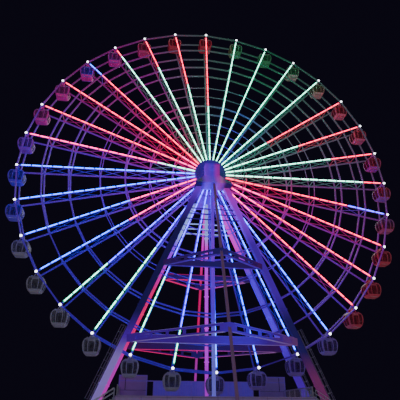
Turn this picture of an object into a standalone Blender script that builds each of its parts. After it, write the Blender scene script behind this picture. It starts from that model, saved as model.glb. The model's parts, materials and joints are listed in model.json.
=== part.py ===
"""A giant observation wheel as a 1:10 scale model, in metres, +Z up.

The real wheel is 56 m across and about 62 m tall.  The origin is on the
ground, straight under the hub.  The wheel turns about +Y, its front face
looks along -Y, and the front and rear towers mirror each other in y = 0.
"""

from math import cos, hypot, pi, sin

import bmesh
import bpy
from mathutils import Matrix, Vector

# Wheel
WHEEL_RADIUS = 2.80
HUB_HEIGHT = 3.41
SPOKES = 32
FIRST_SPOKE_ANGLE = 1.267 * pi / 180
PLANE_SPACING = 0.224
CHORD_WIDTH = 0.018
CHORD_DEPTH = 0.018
RING_FRACTIONS = (0.455, 0.743, 0.877, 1.0)
HUB_RING_RADIUS = 0.202
HUB_RING_WIDTH = 0.056

# Hub and its bearings
HUB_SIDES = 32
FLANGE_RADIUS = 0.224
FLANGE_THICKNESS = 0.050
STUB_RADIUS = 0.042
STUB_LENGTH = 0.130
BORE_RADIUS = 0.0426
BORE_SIDES = 32
BORE_END_ROOM = 0.012

# Cabins
CABIN_WIDTH = 0.224
CABIN_DEPTH = 0.185
CABIN_DROP = 0.260
CABIN_ROOF_DROP = 0.036
CABIN_EAVES_DROP = 0.100
CABIN_SILL_DROP = 0.194
CABIN_FLOOR_THICKNESS = 0.012
CABIN_POST = 0.016
CABIN_BOTTOM_RATIO = 0.66
CABIN_SILL_RATIO = 0.90
CABIN_ROOF_RATIO = 0.52
HANGER_WIDTH = 0.050
HANGER_DEPTH = 0.090
AXLE_RADIUS = 0.017
AXLE_SIDES = 10

# Towers, given for the front one
HEAD_HALF_WIDTH = 0.105
HEAD_TOP = HUB_HEIGHT + 0.056
HEAD_SHOULDER = HUB_HEIGHT - 0.120
HEAD_BOTTOM = HUB_HEIGHT - 0.320
HEAD_WHEEL_FACE = 0.200
HEAD_OUTER_FACE = 0.336
SKIRT_HALF_WIDTH = 0.264
SKIRT_WHEEL_FACE = 0.236
SKIRT_OUTER_FACE = 0.486
MAIN_LEG_TOP = (0.200, 0.300)
MAIN_LEG_BASE = (1.500, 0.300)
MAIN_LEG_RADIUS = 0.052
STAY_LEG_TOP = (0.0, 0.446)
STAY_LEG_BASE = (0.0, 1.695)
STAY_LEG_RADIUS = 0.018
STAY_LEG_SIDES = 12
PLUMB_COLUMN_OFFSET = 0.286
PLUMB_COLUMN_RADIUS = 0.024
PLUMB_COLUMN_SIDES = 12
FOOT_PLATE_RATIO = 1.35
FOOT_PLATE_HEIGHT = 0.040

# Ring girders that tie the legs of a tower: underside, depth, width
LOW_RING_BOTTOM = 0.925
LOW_RING_DEPTH = 0.090
MID_RING_BOTTOM = 1.900
MID_RING_DEPTH = 0.072
RING_WIDTH = 0.036
RING_CORNER_SETBACK = 0.050
RING_TIE_OFFSET = 0.340
RING_FLANGE_DEPTH = 0.018
RING_POST_WIDTH = 0.018
RING_END_WEB = 0.110
LOW_RING_WINDOWS = 5
MID_RING_WINDOWS = 3

# Boarding platform
DECK_HALF_LENGTH = 1.150
DECK_HALF_DEPTH = 0.560
DECK_TOP = 0.323
DECK_THICKNESS = 0.030
FASCIA_DEPTH = 0.130
FASCIA_THICKNESS = 0.024
BEAM_WIDTH = 0.050
BEAM_DEPTH = 0.060
FRAME_LINES_X = (-1.040, -0.350, 0.350, 1.040)
FRAME_LINES_Y = (-0.480, 0.480)
SCREEN_HEIGHT = 0.224
SCREEN_HALF_LENGTH = 0.690
END_SCREEN_HEIGHT = 0.292
END_SCREEN_START = 0.776
PARAPET_HEIGHT = 0.118
RAIL_WIDTH = 0.012
RAIL_THICKNESS = 0.012
RAIL_EDGE_INSET = 0.012
SCREEN_BAYS = 8
PARAPET_BAYS = 5
STAIR_WIDTH = 0.170
STAIR_CENTRE_Y = -0.466
STAIR_RISERS = 18
STAIR_GOING = 0.029
STAIR_WAIST = 0.030

# Space kept between pieces that touch
SEAT_GAP = 0.0003


def clear_scene():
    for scene_object in list(bpy.data.objects):
        bpy.data.objects.remove(scene_object, do_unlink=True)


def make_material(name, colour, roughness, metallic):
    material = bpy.data.materials.new(name)
    material.use_nodes = True
    shader = material.node_tree.nodes["Principled BSDF"]
    shader.inputs["Base Color"].default_value = (*colour, 1.0)
    shader.inputs["Roughness"].default_value = roughness
    shader.inputs["Metallic"].default_value = metallic
    return material


FINISHES = {
    "white_steel": ((0.80, 0.81, 0.84), 0.42, 0.0),
    "tower_steel": ((0.74, 0.75, 0.79), 0.45, 0.0),
    "stay_steel": ((0.46, 0.43, 0.41), 0.50, 0.0),
    "hub_steel": ((0.62, 0.64, 0.68), 0.38, 0.6),
    "cabin_shell": ((0.78, 0.79, 0.82), 0.35, 0.0),
    "platform_cladding": ((0.72, 0.68, 0.60), 0.60, 0.0),
    "platform_steel": ((0.58, 0.59, 0.62), 0.50, 0.2),
}


def place(name, bm, finish, location=(0.0, 0.0, 0.0), parent=None):
    """Turn a bmesh into a named object; its points are relative to location."""
    bmesh.ops.recalc_face_normals(bm, faces=bm.faces)
    mesh = bpy.data.meshes.new(name)
    bm.to_mesh(mesh)
    bm.free()
    return place_mesh(name, mesh, finish, location, parent)


def place_mesh(name, mesh, finish, location=(0.0, 0.0, 0.0), parent=None):
    scene_object = bpy.data.objects.new(name, mesh)
    if not mesh.materials:
        mesh.materials.append(make_material(name + "_" + finish, *FINISHES[finish]))
    bpy.context.scene.collection.objects.link(scene_object)
    if parent:
        scene_object.parent = parent
        scene_object.location = Vector(location) - parent.location
    else:
        scene_object.location = location
    return scene_object


def cutter(name, bm):
    bmesh.ops.recalc_face_normals(bm, faces=bm.faces)
    mesh = bpy.data.meshes.new(name)
    bm.to_mesh(mesh)
    bm.free()
    tool = bpy.data.objects.new(name, mesh)
    tool.hide_render = True
    tool.display_type = "WIRE"
    bpy.context.scene.collection.objects.link(tool)
    return tool


def combine(target, tool, operation):
    modifier = target.modifiers.new(operation.title(), "BOOLEAN")
    modifier.operation = operation
    modifier.solver = "EXACT"
    modifier.object = tool


def flat_face(bm, points):
    return bm.faces.new([bm.verts.new(point) for point in points])


def extrude_region(bm, faces, offset):
    """Extrude a region of faces by an offset and return the moved faces.

    A loose sheet keeps its first faces and becomes a slab; faces that are part
    of a solid are taken away, so that the solid grows.
    """
    region = set(faces)
    grows = any(other not in region for face in faces
                for edge in face.edges for other in edge.link_faces)
    made = bmesh.ops.extrude_face_region(bm, geom=faces)["geom"]
    moved = [item for item in made if isinstance(item, bmesh.types.BMFace)]
    corners = [item for item in made if isinstance(item, bmesh.types.BMVert)]
    bmesh.ops.translate(bm, verts=corners, vec=Vector(offset))
    if grows:
        kept = [face for face in faces if face.is_valid]
        bmesh.ops.delete(bm, geom=kept, context="FACES")
    return moved


def extrude_face(bm, face, offset, scale=1.0):
    """Extrude one face by an offset and scale its end about its own centre."""
    made = extrude_region(bm, [face], offset)[0]
    centre = made.calc_center_median()
    for vertex in made.verts:
        vertex.co = centre + (vertex.co - centre) * scale
    return made


def extrude_rectangle(bm, face, x_range, y_range, z):
    """Extrude a level rectangular face to another rectangle at height z."""
    made = extrude_region(bm, [face], (0.0, 0.0, 0.0))[0]
    centre = made.calc_center_median()
    for vertex in made.verts:
        x = x_range[vertex.co.x > centre.x]
        y = y_range[vertex.co.y > centre.y]
        vertex.co = (x, y, z)
    return made


def rectangle(x_range, y_range, z):
    return [(x_range[0], y_range[0], z), (x_range[1], y_range[0], z),
            (x_range[1], y_range[1], z), (x_range[0], y_range[1], z)]


def polygon(centre, radius, sides, z, turn=0.0):
    return [
        (centre[0] + radius * cos(turn + 2 * pi * k / sides),
         centre[1] + radius * sin(turn + 2 * pi * k / sides), z)
        for k in range(sides)
    ]


def spoke_angle(index):
    """Angle of a spoke from the top, anticlockwise as the front shows it."""
    return FIRST_SPOKE_ANGLE + 2 * pi * index / SPOKES


def pivot_point(index):
    angle = spoke_angle(index)
    return Vector((-WHEEL_RADIUS * sin(angle), 0.0,
                   HUB_HEIGHT + WHEEL_RADIUS * cos(angle)))


# Wheel

def wheel_lattice(name, plane_y, axis_empty):
    """A flat net of 32 spokes and their rings, one solid of square bars."""
    bm = bmesh.new()
    rings = [(HUB_RING_RADIUS, HUB_RING_WIDTH)]
    rings += [(WHEEL_RADIUS * part, CHORD_WIDTH) for part in RING_FRACTIONS]
    back = plane_y - CHORD_DEPTH / 2
    crossings = []
    for radius, width in rings:
        row = []
        for index in range(SPOKES):
            angle = spoke_angle(index)
            radial = Vector((-sin(angle), 0.0, cos(angle)))
            across = Vector((-cos(angle), 0.0, -sin(angle)))
            corner = {}
            for end in (-1, 1):
                for side in (-1, 1):
                    point = radial * (radius + end * width / 2)
                    point += across * (side * CHORD_WIDTH / 2)
                    corner[end, side] = bm.verts.new(point + Vector((0.0, back, 0.0)))
            row.append(corner)
        crossings.append(row)
    for ring, row in enumerate(crossings):
        for index, corner in enumerate(row):
            following = row[(index + 1) % SPOKES]
            bm.faces.new((corner[-1, -1], corner[-1, 1], corner[1, 1], corner[1, -1]))
            bm.faces.new((corner[-1, 1], following[-1, -1],
                          following[1, -1], corner[1, 1]))
            if ring + 1 < len(crossings):
                outer = crossings[ring + 1][index]
                bm.faces.new((corner[1, -1], corner[1, 1],
                              outer[-1, 1], outer[-1, -1]))
    extrude_region(bm, list(bm.faces), (0.0, CHORD_DEPTH, 0.0))
    return place(name, bm, "white_steel", axis_empty.location, axis_empty)


def turned_body(profile, sides, start_angle):
    """Spin an outline of (y, radius) points about the Y axis."""
    bm = bmesh.new()
    direction = Vector((-sin(start_angle), 0.0, cos(start_angle)))
    points = [bm.verts.new(Vector((0.0, y, 0.0)) + direction * radius)
              for y, radius in profile]
    edges = [bm.edges.new(pair) for pair in zip(points, points[1:])]
    bmesh.ops.spin(bm, geom=points + edges, cent=(0, 0, 0), axis=(0, 1, 0),
                   angle=2 * pi, steps=sides, use_merge=True)
    bmesh.ops.remove_doubles(bm, verts=bm.verts, dist=0.00001)
    bmesh.ops.holes_fill(bm, edges=[e for e in bm.edges if e.is_boundary], sides=0)
    return bm


def wheel_hub(axis_empty):
    """Drum through both lattices, a flange before each, and two stub shafts."""
    lattice_face = PLANE_SPACING / 2 + CHORD_DEPTH / 2 + SEAT_GAP
    flange_face = lattice_face + FLANGE_THICKNESS
    stub_end = flange_face + STUB_LENGTH
    inner_corner = hypot(HUB_RING_RADIUS - HUB_RING_WIDTH / 2, CHORD_WIDTH / 2)
    drum_radius = (inner_corner - CHORD_WIDTH / 4) * cos(pi / HUB_SIDES)
    half = [(stub_end, STUB_RADIUS), (flange_face, STUB_RADIUS),
            (flange_face, FLANGE_RADIUS), (lattice_face, FLANGE_RADIUS),
            (lattice_face, drum_radius)]
    profile = [(-y, radius) for y, radius in half]
    profile += list(reversed(half))
    bm = turned_body(profile, HUB_SIDES, spoke_angle(0) + pi / HUB_SIDES)
    return place("wheel_hub", bm, "hub_steel", axis_empty.location, axis_empty)


# Cabins

def cabin_mesh():
    """One cabin, its pivot at the origin: tub, corner posts, roof and hanger."""
    half_width = CABIN_WIDTH / 2
    half_depth = CABIN_DEPTH / 2
    floor_drop = CABIN_DROP - CABIN_FLOOR_THICKNESS
    bm = bmesh.new()
    bmesh.ops.create_grid(bm, x_segments=3, y_segments=3, size=1.0,
                          matrix=Matrix.Translation((0.0, 0.0, -CABIN_DROP)))

    def is_corner(face):
        centre = face.calc_center_median()
        return abs(centre.x) > 0.5 and abs(centre.y) > 0.5

    def is_middle(face):
        centre = face.calc_center_median()
        return abs(centre.x) < 0.5 and abs(centre.y) < 0.5

    top = extrude_region(bm, list(bm.faces), (0, 0, CABIN_FLOOR_THICKNESS))
    top = extrude_region(bm, [f for f in top if not is_middle(f)],
                         (0, 0, floor_drop - CABIN_SILL_DROP))
    top = extrude_region(bm, [f for f in top if is_corner(f)],
                         (0, 0, CABIN_SILL_DROP - CABIN_EAVES_DROP))
    bmesh.ops.delete(bm, geom=top, context="FACES_ONLY")
    before = set(bm.faces)
    bmesh.ops.create_grid(bm, x_segments=3, y_segments=3, size=1.0,
                          matrix=Matrix.Translation((0.0, 0.0, -CABIN_EAVES_DROP)))
    underside = [face for face in bm.faces if face not in before]
    roof = extrude_region(bm, underside, (0, 0, CABIN_EAVES_DROP - CABIN_ROOF_DROP))
    corners = [face for face in underside if face.is_valid and is_corner(face)]
    bmesh.ops.delete(bm, geom=corners, context="FACES_ONLY")
    bmesh.ops.remove_doubles(bm, verts=bm.verts, dist=0.0001)

    width_at = {
        CABIN_DROP: CABIN_BOTTOM_RATIO,
        floor_drop: CABIN_BOTTOM_RATIO,
        CABIN_SILL_DROP: CABIN_SILL_RATIO,
        CABIN_EAVES_DROP: 1.0,
        CABIN_ROOF_DROP: CABIN_ROOF_RATIO,
    }
    for vertex in bm.verts:
        drop = min(width_at, key=lambda level: abs(level + vertex.co.z))
        half_x = half_width * width_at[drop]
        depth_ratio = 1.0 if drop > CABIN_ROOF_DROP else CABIN_ROOF_RATIO
        half_y = half_depth * depth_ratio
        inner_x = half_x - CABIN_POST
        inner_y = half_y - CABIN_POST
        vertex.co.x = (half_x if abs(vertex.co.x) > 0.9 else inner_x) * (
            1 if vertex.co.x > 0 else -1)
        vertex.co.y = (half_y if abs(vertex.co.y) > 0.9 else inner_y) * (
            1 if vertex.co.y > 0 else -1)
    bmesh.ops.dissolve_limit(bm, angle_limit=0.002, verts=bm.verts, edges=bm.edges)

    roof_top = max(bm.faces, key=lambda face: face.calc_center_median().z)
    base = extrude_rectangle(bm, roof_top, (-HANGER_WIDTH / 2, HANGER_WIDTH / 2),
                             (-HANGER_DEPTH / 2, HANGER_DEPTH / 2), -CABIN_ROOF_DROP)
    extrude_face(bm, base, (0.0, 0.0, CABIN_ROOF_DROP), 0.5)

    shell = cutter("cabin_shell_blank", bm)
    axle_length = PLANE_SPACING - CHORD_DEPTH - 2 * SEAT_GAP
    axle = bmesh.new()
    bmesh.ops.create_cone(axle, cap_ends=True, segments=AXLE_SIDES, radius1=AXLE_RADIUS,
                          radius2=AXLE_RADIUS, depth=axle_length,
                          matrix=Matrix.Rotation(pi / 2, 4, "X"))
    axle_tool = cutter("cabin_axle_blank", axle)
    combine(shell, axle_tool, "UNION")
    graph = bpy.context.evaluated_depsgraph_get()
    mesh = bpy.data.meshes.new_from_object(shell.evaluated_get(graph))
    bpy.data.objects.remove(shell)
    bpy.data.objects.remove(axle_tool)
    return mesh


def cabins(axis_empty):
    mesh = cabin_mesh()
    for index in range(SPOKES):
        name = "cabin_%02d" % (index + 1)
        own_mesh = mesh.copy()
        own_mesh.materials.clear()
        place_mesh(name, own_mesh, "cabin_shell", pivot_point(index), axis_empty)


# Towers

def leaning_leg(base, top, z_top, radius, sides, turn, foot):
    """A leg with level ends, from a foot plate on the ground to its top."""
    bm = bmesh.new()
    lean = Vector((top[0] - base[0], top[1] - base[1], 0.0))
    plate = FOOT_PLATE_HEIGHT / z_top if foot else 0.0
    start_radius = radius * (FOOT_PLATE_RATIO if foot else 1.0)
    face = flat_face(bm, polygon(base, start_radius, sides, 0.0, turn))
    if foot:
        face = extrude_face(bm, face, (0.0, 0.0, FOOT_PLATE_HEIGHT))
        face = extrude_face(bm, face, lean * plate, 1 / FOOT_PLATE_RATIO)
    rise = Vector((0.0, 0.0, z_top)) * (1 - plate)
    extrude_face(bm, face, lean * (1 - plate) + rise)
    return bm


def leg_shape(kind, side, grow=0.0, foot=True):
    """The bmesh of one leg of a tower; side is -1 in front and +1 behind."""
    z_top = HEAD_BOTTOM - SEAT_GAP
    if kind == "stay":
        base = (STAY_LEG_BASE[0], side * STAY_LEG_BASE[1])
        top = (STAY_LEG_TOP[0], side * STAY_LEG_TOP[1])
        radius = STAY_LEG_RADIUS + grow
        turn = pi / STAY_LEG_SIDES
        return leaning_leg(base, top, z_top, radius, STAY_LEG_SIDES, turn, foot)
    hand = -1 if kind == "left" else 1
    base = (hand * MAIN_LEG_BASE[0], side * MAIN_LEG_BASE[1])
    top = (hand * MAIN_LEG_TOP[0], side * MAIN_LEG_TOP[1])
    radius = MAIN_LEG_RADIUS + grow
    return leaning_leg(base, top, z_top, radius, 4, pi / 4, foot)


def point_on_leg(base, top, z):
    part = z / (HEAD_BOTTOM - SEAT_GAP)
    return Vector((base[0] + (top[0] - base[0]) * part,
                   base[1] + (top[1] - base[1]) * part))


def offset_loop(points, distance):
    """Offset a closed anticlockwise outline outwards with mitred corners."""
    result = []
    count = len(points)
    for k in range(count):
        before = (points[k] - points[k - 1]).normalized()
        after = (points[(k + 1) % count] - points[k]).normalized()
        out_before = Vector((before.y, -before.x))
        out_after = Vector((after.y, -after.x))
        mitre = (out_before + out_after).normalized()
        result.append(points[k] + mitre * (distance / mitre.dot(out_before)))
    return result


def arm_windows(start, end, count, side, bottom, depth):
    """A row of blocks along one arm of a ring girder, to cut its windows with."""
    bm = bmesh.new()
    along = (end - start).normalized()
    across = Vector((-along.y, along.x)) * RING_WIDTH
    first = start + along * RING_END_WEB
    usable = (end - start).length - 2 * RING_END_WEB
    length = (usable - (count - 1) * RING_POST_WIDTH) / count
    for k in range(count):
        near = first + along * (k * (length + RING_POST_WIDTH))
        far = near + along * length
        corners = (near - across, far - across, far + across, near + across)
        face = flat_face(bm, [(p.x, side * p.y, bottom + RING_FLANGE_DEPTH)
                              for p in corners])
        extrude_face(bm, face, (0.0, 0.0, depth - 2 * RING_FLANGE_DEPTH))
    return bm


def ring_girder(name, side, bottom, depth, windows):
    """A three-sided girder from leg to stay to leg, notched round all of them.

    The tie beside the wheel is solid; the two arms to the stay have windows.
    """
    level = bottom + depth / 2
    right = point_on_leg(MAIN_LEG_BASE, MAIN_LEG_TOP, level)
    stay = point_on_leg(STAY_LEG_BASE, STAY_LEG_TOP, level)
    corner_x = right.x - RING_CORNER_SETBACK
    loop = [Vector((corner_x, RING_TIE_OFFSET)), Vector((0.0, stay.y)),
            Vector((-corner_x, RING_TIE_OFFSET))]
    bm = bmesh.new()
    outer = offset_loop(loop, RING_WIDTH / 2)
    inner = offset_loop(loop, -RING_WIDTH / 2)
    outer_row = [bm.verts.new((p.x, side * p.y, bottom)) for p in outer]
    inner_row = [bm.verts.new((p.x, side * p.y, bottom)) for p in inner]
    for k in range(len(loop)):
        following = (k + 1) % len(loop)
        bm.faces.new((outer_row[k], outer_row[following],
                      inner_row[following], inner_row[k]))
    extrude_region(bm, list(bm.faces), (0.0, 0.0, depth))
    girder = place(name, bm, "tower_steel")
    for hand, corner in (("right", loop[0]), ("left", loop[2])):
        blocks = arm_windows(corner, loop[1], windows, side, bottom, depth)
        combine(girder, cutter(name + "_windows_" + hand, blocks), "DIFFERENCE")
    for kind in ("left", "right", "stay"):
        shape = leg_shape(kind, side, SEAT_GAP * 2, foot=False)
        combine(girder, cutter(name + "_notch_" + kind, shape), "DIFFERENCE")
    return girder


def tower_head(name, side):
    """Bearing block on a skirt that gathers the legs, with a blind bore."""
    bm = bmesh.new()
    levels = [
        (HEAD_BOTTOM, SKIRT_HALF_WIDTH, SKIRT_WHEEL_FACE, SKIRT_OUTER_FACE),
        (HEAD_SHOULDER, HEAD_HALF_WIDTH, HEAD_WHEEL_FACE, HEAD_OUTER_FACE),
        (HEAD_TOP, HEAD_HALF_WIDTH, HEAD_WHEEL_FACE, HEAD_OUTER_FACE),
    ]
    face = None
    for z, half_width, near, far in levels:
        x_range = (-half_width, half_width)
        y_range = sorted((side * near, side * far))
        if face:
            face = extrude_rectangle(bm, face, x_range, y_range, z)
        else:
            face = flat_face(bm, rectangle(x_range, y_range, z))
    head = place(name, bm, "tower_steel")
    stub_end = (PLANE_SPACING / 2 + CHORD_DEPTH / 2 + SEAT_GAP + FLANGE_THICKNESS
                + STUB_LENGTH)
    bore_end = stub_end + BORE_END_ROOM
    bore = bmesh.new()
    middle = Matrix.Translation((0.0, side * bore_end / 2, HUB_HEIGHT))
    bmesh.ops.create_cone(bore, cap_ends=True, segments=BORE_SIDES, radius1=BORE_RADIUS,
                          radius2=BORE_RADIUS, depth=bore_end,
                          matrix=middle @ Matrix.Rotation(pi / 2, 4, "X"))
    combine(head, cutter(name + "_bore", bore), "DIFFERENCE")
    return head


def column_shape(side):
    """Upright pipe beside the wheel, from the deck to the tower head."""
    bm = bmesh.new()
    centre = (0.0, side * PLUMB_COLUMN_OFFSET)
    bottom = DECK_TOP + SEAT_GAP
    face = flat_face(bm, polygon(centre, PLUMB_COLUMN_RADIUS, PLUMB_COLUMN_SIDES, bottom))
    extrude_face(bm, face, (0.0, 0.0, HEAD_BOTTOM - SEAT_GAP - bottom))
    return bm


def tower(end, side):
    tower_head(end + "_tower_head", side)
    place(end + "_left_leg", leg_shape("left", side), "tower_steel")
    place(end + "_right_leg", leg_shape("right", side), "tower_steel")
    place(end + "_stay_leg", leg_shape("stay", side), "stay_steel")
    place(end + "_plumb_column", column_shape(side), "tower_steel")
    ring_girder(end + "_low_ring_girder", side, LOW_RING_BOTTOM, LOW_RING_DEPTH,
                LOW_RING_WINDOWS)
    ring_girder(end + "_middle_ring_girder", side, MID_RING_BOTTOM, MID_RING_DEPTH,
                MID_RING_WINDOWS)


# Platform

def platform_deck():
    """Deck slab with a downstand fascia."""
    bm = bmesh.new()
    outer_x = (-DECK_HALF_LENGTH, DECK_HALF_LENGTH)
    outer_y = (-DECK_HALF_DEPTH, DECK_HALF_DEPTH)
    inner_x = (outer_x[0] + FASCIA_THICKNESS, outer_x[1] - FASCIA_THICKNESS)
    inner_y = (outer_y[0] + FASCIA_THICKNESS, outer_y[1] - FASCIA_THICKNESS)
    slab = flat_face(bm, rectangle(outer_x, outer_y, DECK_TOP))
    low = extrude_face(bm, slab, (0.0, 0.0, -FASCIA_DEPTH))
    inner = extrude_rectangle(bm, low, inner_x, inner_y, DECK_TOP - FASCIA_DEPTH)
    extrude_face(bm, inner, (0.0, 0.0, FASCIA_DEPTH - DECK_THICKNESS))
    return place("platform_deck", bm, "platform_cladding")


def net(lines_a, lines_b, width):
    """A flat rectangular net of bars in the XY plane, joined where they cross."""
    bm = bmesh.new()
    edges_a = sorted(a + s * width / 2 for a in lines_a for s in (-1, 1))
    edges_b = sorted(b + s * width / 2 for b in lines_b for s in (-1, 1))
    point = {(i, j): bm.verts.new((a, b, 0.0))
             for i, a in enumerate(edges_a) for j, b in enumerate(edges_b)}
    for i in range(len(edges_a) - 1):
        for j in range(len(edges_b) - 1):
            is_bay = i % 2 and j % 2
            if not is_bay:
                bm.faces.new((point[i, j], point[i + 1, j],
                              point[i + 1, j + 1], point[i, j + 1]))
    return bm


def platform_frame():
    """Grid of beams under the deck with a column at every crossing."""
    bm = net(FRAME_LINES_X, FRAME_LINES_Y, BEAM_WIDTH)
    top = DECK_TOP - DECK_THICKNESS - SEAT_GAP
    bottom = top - BEAM_DEPTH
    bmesh.ops.translate(bm, verts=bm.verts, vec=(0.0, 0.0, bottom))
    extrude_region(bm, list(bm.faces), (0.0, 0.0, BEAM_DEPTH))
    centres = [(x, y) for x in FRAME_LINES_X for y in FRAME_LINES_Y]
    feet = [face for face in bm.faces
            if abs(face.normal.z) > 0.5
            and abs(face.calc_center_median().z - bottom) < 0.001
            and any(hypot(face.calc_center_median().x - x,
                          face.calc_center_median().y - y) < 0.001
                    for x, y in centres)]
    for face in feet:
        extrude_face(bm, face, (0.0, 0.0, -bottom))
    return place("platform_frame", bm, "platform_steel")


def even_posts(length, bays):
    half = length / 2 - RAIL_WIDTH / 2
    return [-half + 2 * half * k / bays for k in range(bays + 1)]


def railing(name, bm, turn, location):
    """Thicken a net of posts and rails, stand it up and place it on the deck."""
    extrude_region(bm, list(bm.faces), (0.0, 0.0, RAIL_THICKNESS))
    upright = Matrix.Rotation(turn, 4, "Z") @ Matrix.Rotation(pi / 2, 4, "X")
    bmesh.ops.transform(bm, matrix=upright, verts=bm.verts)
    return place(name, bm, "platform_steel", location)


def screen_net():
    """The net of the rear screen, whose two end bays stand taller."""
    end_post = DECK_HALF_LENGTH - RAIL_WIDTH / 2
    posts = even_posts(2 * SCREEN_HALF_LENGTH, SCREEN_BAYS)
    posts += [-end_post, -END_SCREEN_START, END_SCREEN_START, end_post]
    half_rail = RAIL_WIDTH / 2
    rails = (half_rail, SCREEN_HEIGHT - half_rail, END_SCREEN_HEIGHT - half_rail)
    bm = net(posts, rails, RAIL_WIDTH)
    above = [face for face in bm.faces
             if face.calc_center_median().y > SCREEN_HEIGHT
             and abs(face.calc_center_median().x) < END_SCREEN_START - half_rail]
    bmesh.ops.delete(bm, geom=above, context="FACES")
    return bm


def stair(name, hand):
    """A straight flight beside the deck, rising from the ground to its top."""
    bm = bmesh.new()
    riser = DECK_TOP / STAIR_RISERS
    start = DECK_HALF_LENGTH + SEAT_GAP
    outline = [(start, 0.0), (start, DECK_TOP - riser)]
    for k in range(1, STAIR_RISERS):
        x = start + STAIR_GOING * k
        outline += [(x, DECK_TOP - riser * k), (x, DECK_TOP - riser * (k + 1))]
    foot_x = outline[-1][0]
    outline[-1] = (foot_x, 0.0)
    slope = riser / STAIR_GOING
    soffit_drop = STAIR_WAIST * hypot(1.0, slope)
    outline[0] = (start, DECK_TOP - riser - soffit_drop)
    reach = outline[0][1] / slope
    outline.append((start + reach, 0.0))
    near = STAIR_CENTRE_Y - STAIR_WIDTH / 2
    face = flat_face(bm, [(hand * x, near, z) for x, z in outline])
    extrude_face(bm, face, (0.0, STAIR_WIDTH, 0.0))
    return place(name, bm, "platform_steel")


def platform():
    platform_deck()
    platform_frame()
    screen_y = DECK_HALF_DEPTH - RAIL_EDGE_INSET
    parapet_x = DECK_HALF_LENGTH - RAIL_EDGE_INSET
    parapet_length = 2 * (screen_y - RAIL_THICKNESS - SEAT_GAP)
    parapet_posts = even_posts(parapet_length, PARAPET_BAYS)
    parapet_rails = (RAIL_WIDTH / 2, PARAPET_HEIGHT - RAIL_WIDTH / 2)
    seat = DECK_TOP + SEAT_GAP
    railing("rear_screen", screen_net(), 0.0, (0.0, screen_y, seat))
    railing("left_parapet", net(parapet_posts, parapet_rails, RAIL_WIDTH), pi / 2,
            (-parapet_x, 0.0, seat))
    railing("right_parapet", net(parapet_posts, parapet_rails, RAIL_WIDTH), pi / 2,
            (parapet_x - RAIL_THICKNESS, 0.0, seat))
    stair("left_stair", -1)
    stair("right_stair", 1)


def main():
    clear_scene()
    axis_empty = bpy.data.objects.new("wheel_axis", None)
    axis_empty.location = (0.0, 0.0, HUB_HEIGHT)
    bpy.context.scene.collection.objects.link(axis_empty)
    wheel_lattice("front_wheel_lattice", -PLANE_SPACING / 2, axis_empty)
    wheel_lattice("rear_wheel_lattice", PLANE_SPACING / 2, axis_empty)
    wheel_hub(axis_empty)
    cabins(axis_empty)
    tower("front", -1)
    tower("rear", 1)
    platform()


main()
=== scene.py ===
# %% [markdown]
# ## A giant observation wheel, dressed for its portrait
# The construction arrives as plain solids: two flat lattices, a hub, 32 cabins,
# two towers and a boarding platform.  This lesson gives them their finish:
# braced spokes, strips of light, glazed cabins, ladders, bolts and cladding.
# All sizes are those of a 1:10 scale model, so 1 cm here is 10 cm outside.

# %% Load the frame
import json
from math import atan2, ceil, cos, pi, radians, sin

import bmesh
import bpy
from mathutils import Matrix, Vector


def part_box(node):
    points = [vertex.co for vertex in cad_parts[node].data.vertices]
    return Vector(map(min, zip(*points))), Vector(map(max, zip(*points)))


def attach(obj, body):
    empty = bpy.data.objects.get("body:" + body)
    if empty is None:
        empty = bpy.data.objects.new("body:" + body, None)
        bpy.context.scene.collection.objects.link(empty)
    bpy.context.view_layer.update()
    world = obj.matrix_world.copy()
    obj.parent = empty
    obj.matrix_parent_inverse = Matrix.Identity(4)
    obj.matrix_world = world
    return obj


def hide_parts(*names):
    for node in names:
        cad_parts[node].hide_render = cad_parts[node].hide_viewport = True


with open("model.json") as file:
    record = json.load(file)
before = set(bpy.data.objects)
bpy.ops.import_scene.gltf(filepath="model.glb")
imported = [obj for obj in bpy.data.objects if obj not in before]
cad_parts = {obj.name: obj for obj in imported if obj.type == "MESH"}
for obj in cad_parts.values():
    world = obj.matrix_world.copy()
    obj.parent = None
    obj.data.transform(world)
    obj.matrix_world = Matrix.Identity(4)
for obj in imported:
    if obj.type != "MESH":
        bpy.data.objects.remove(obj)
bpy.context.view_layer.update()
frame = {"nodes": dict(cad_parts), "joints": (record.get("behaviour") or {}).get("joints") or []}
nodes = frame["nodes"]

# %% [markdown]
# ### Where everything is
# The joints say where the wheel turns and where each cabin hangs, and a node's
# box says how deep a lattice is.  Typed numbers would do as well, but what is
# read from the frame stays right when the construction changes.  The wheel
# turns about +Y and its front looks along -Y.

# %% Read the wheel's geometry
pivots = {joint["child"]: Vector(joint["pos_m"]) for joint in frame["joints"]}
HUB = pivots.pop("wheel")
CABINS = sorted(pivots)
SPOKES = len(CABINS)
first_pivot = pivots[CABINS[0]]
first_arm = first_pivot - HUB
WHEEL_RADIUS = first_arm.length
FIRST_ANGLE = atan2(-first_arm.x, first_arm.z)
lattice_low, lattice_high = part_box("front_wheel_lattice")
FACE_Y = lattice_low.y
INNER_Y = -lattice_high.y
PLANE_Y = (INNER_Y - FACE_Y) / 2
RIGHT, BACK, UP = Vector((1, 0, 0)), Vector((0, 1, 0)), Vector((0, 0, 1))
SIDES = (-1, 1)
CORNERS = [(x, y) for x in SIDES for y in SIDES]
GAP = 0.0004
print("hub", tuple(HUB), "radius", round(WHEEL_RADIUS, 4), "spokes", SPOKES)


def radial(angle):
    return Vector((-sin(angle), 0.0, cos(angle)))


def spoke_angle(index):
    return FIRST_ANGLE + 2 * pi * index / SPOKES


def on_wheel(index, fraction, y):
    """A point on a spoke at a fraction of the wheel's radius."""
    return HUB + radial(spoke_angle(index)) * (WHEEL_RADIUS * fraction) + BACK * y


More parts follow.
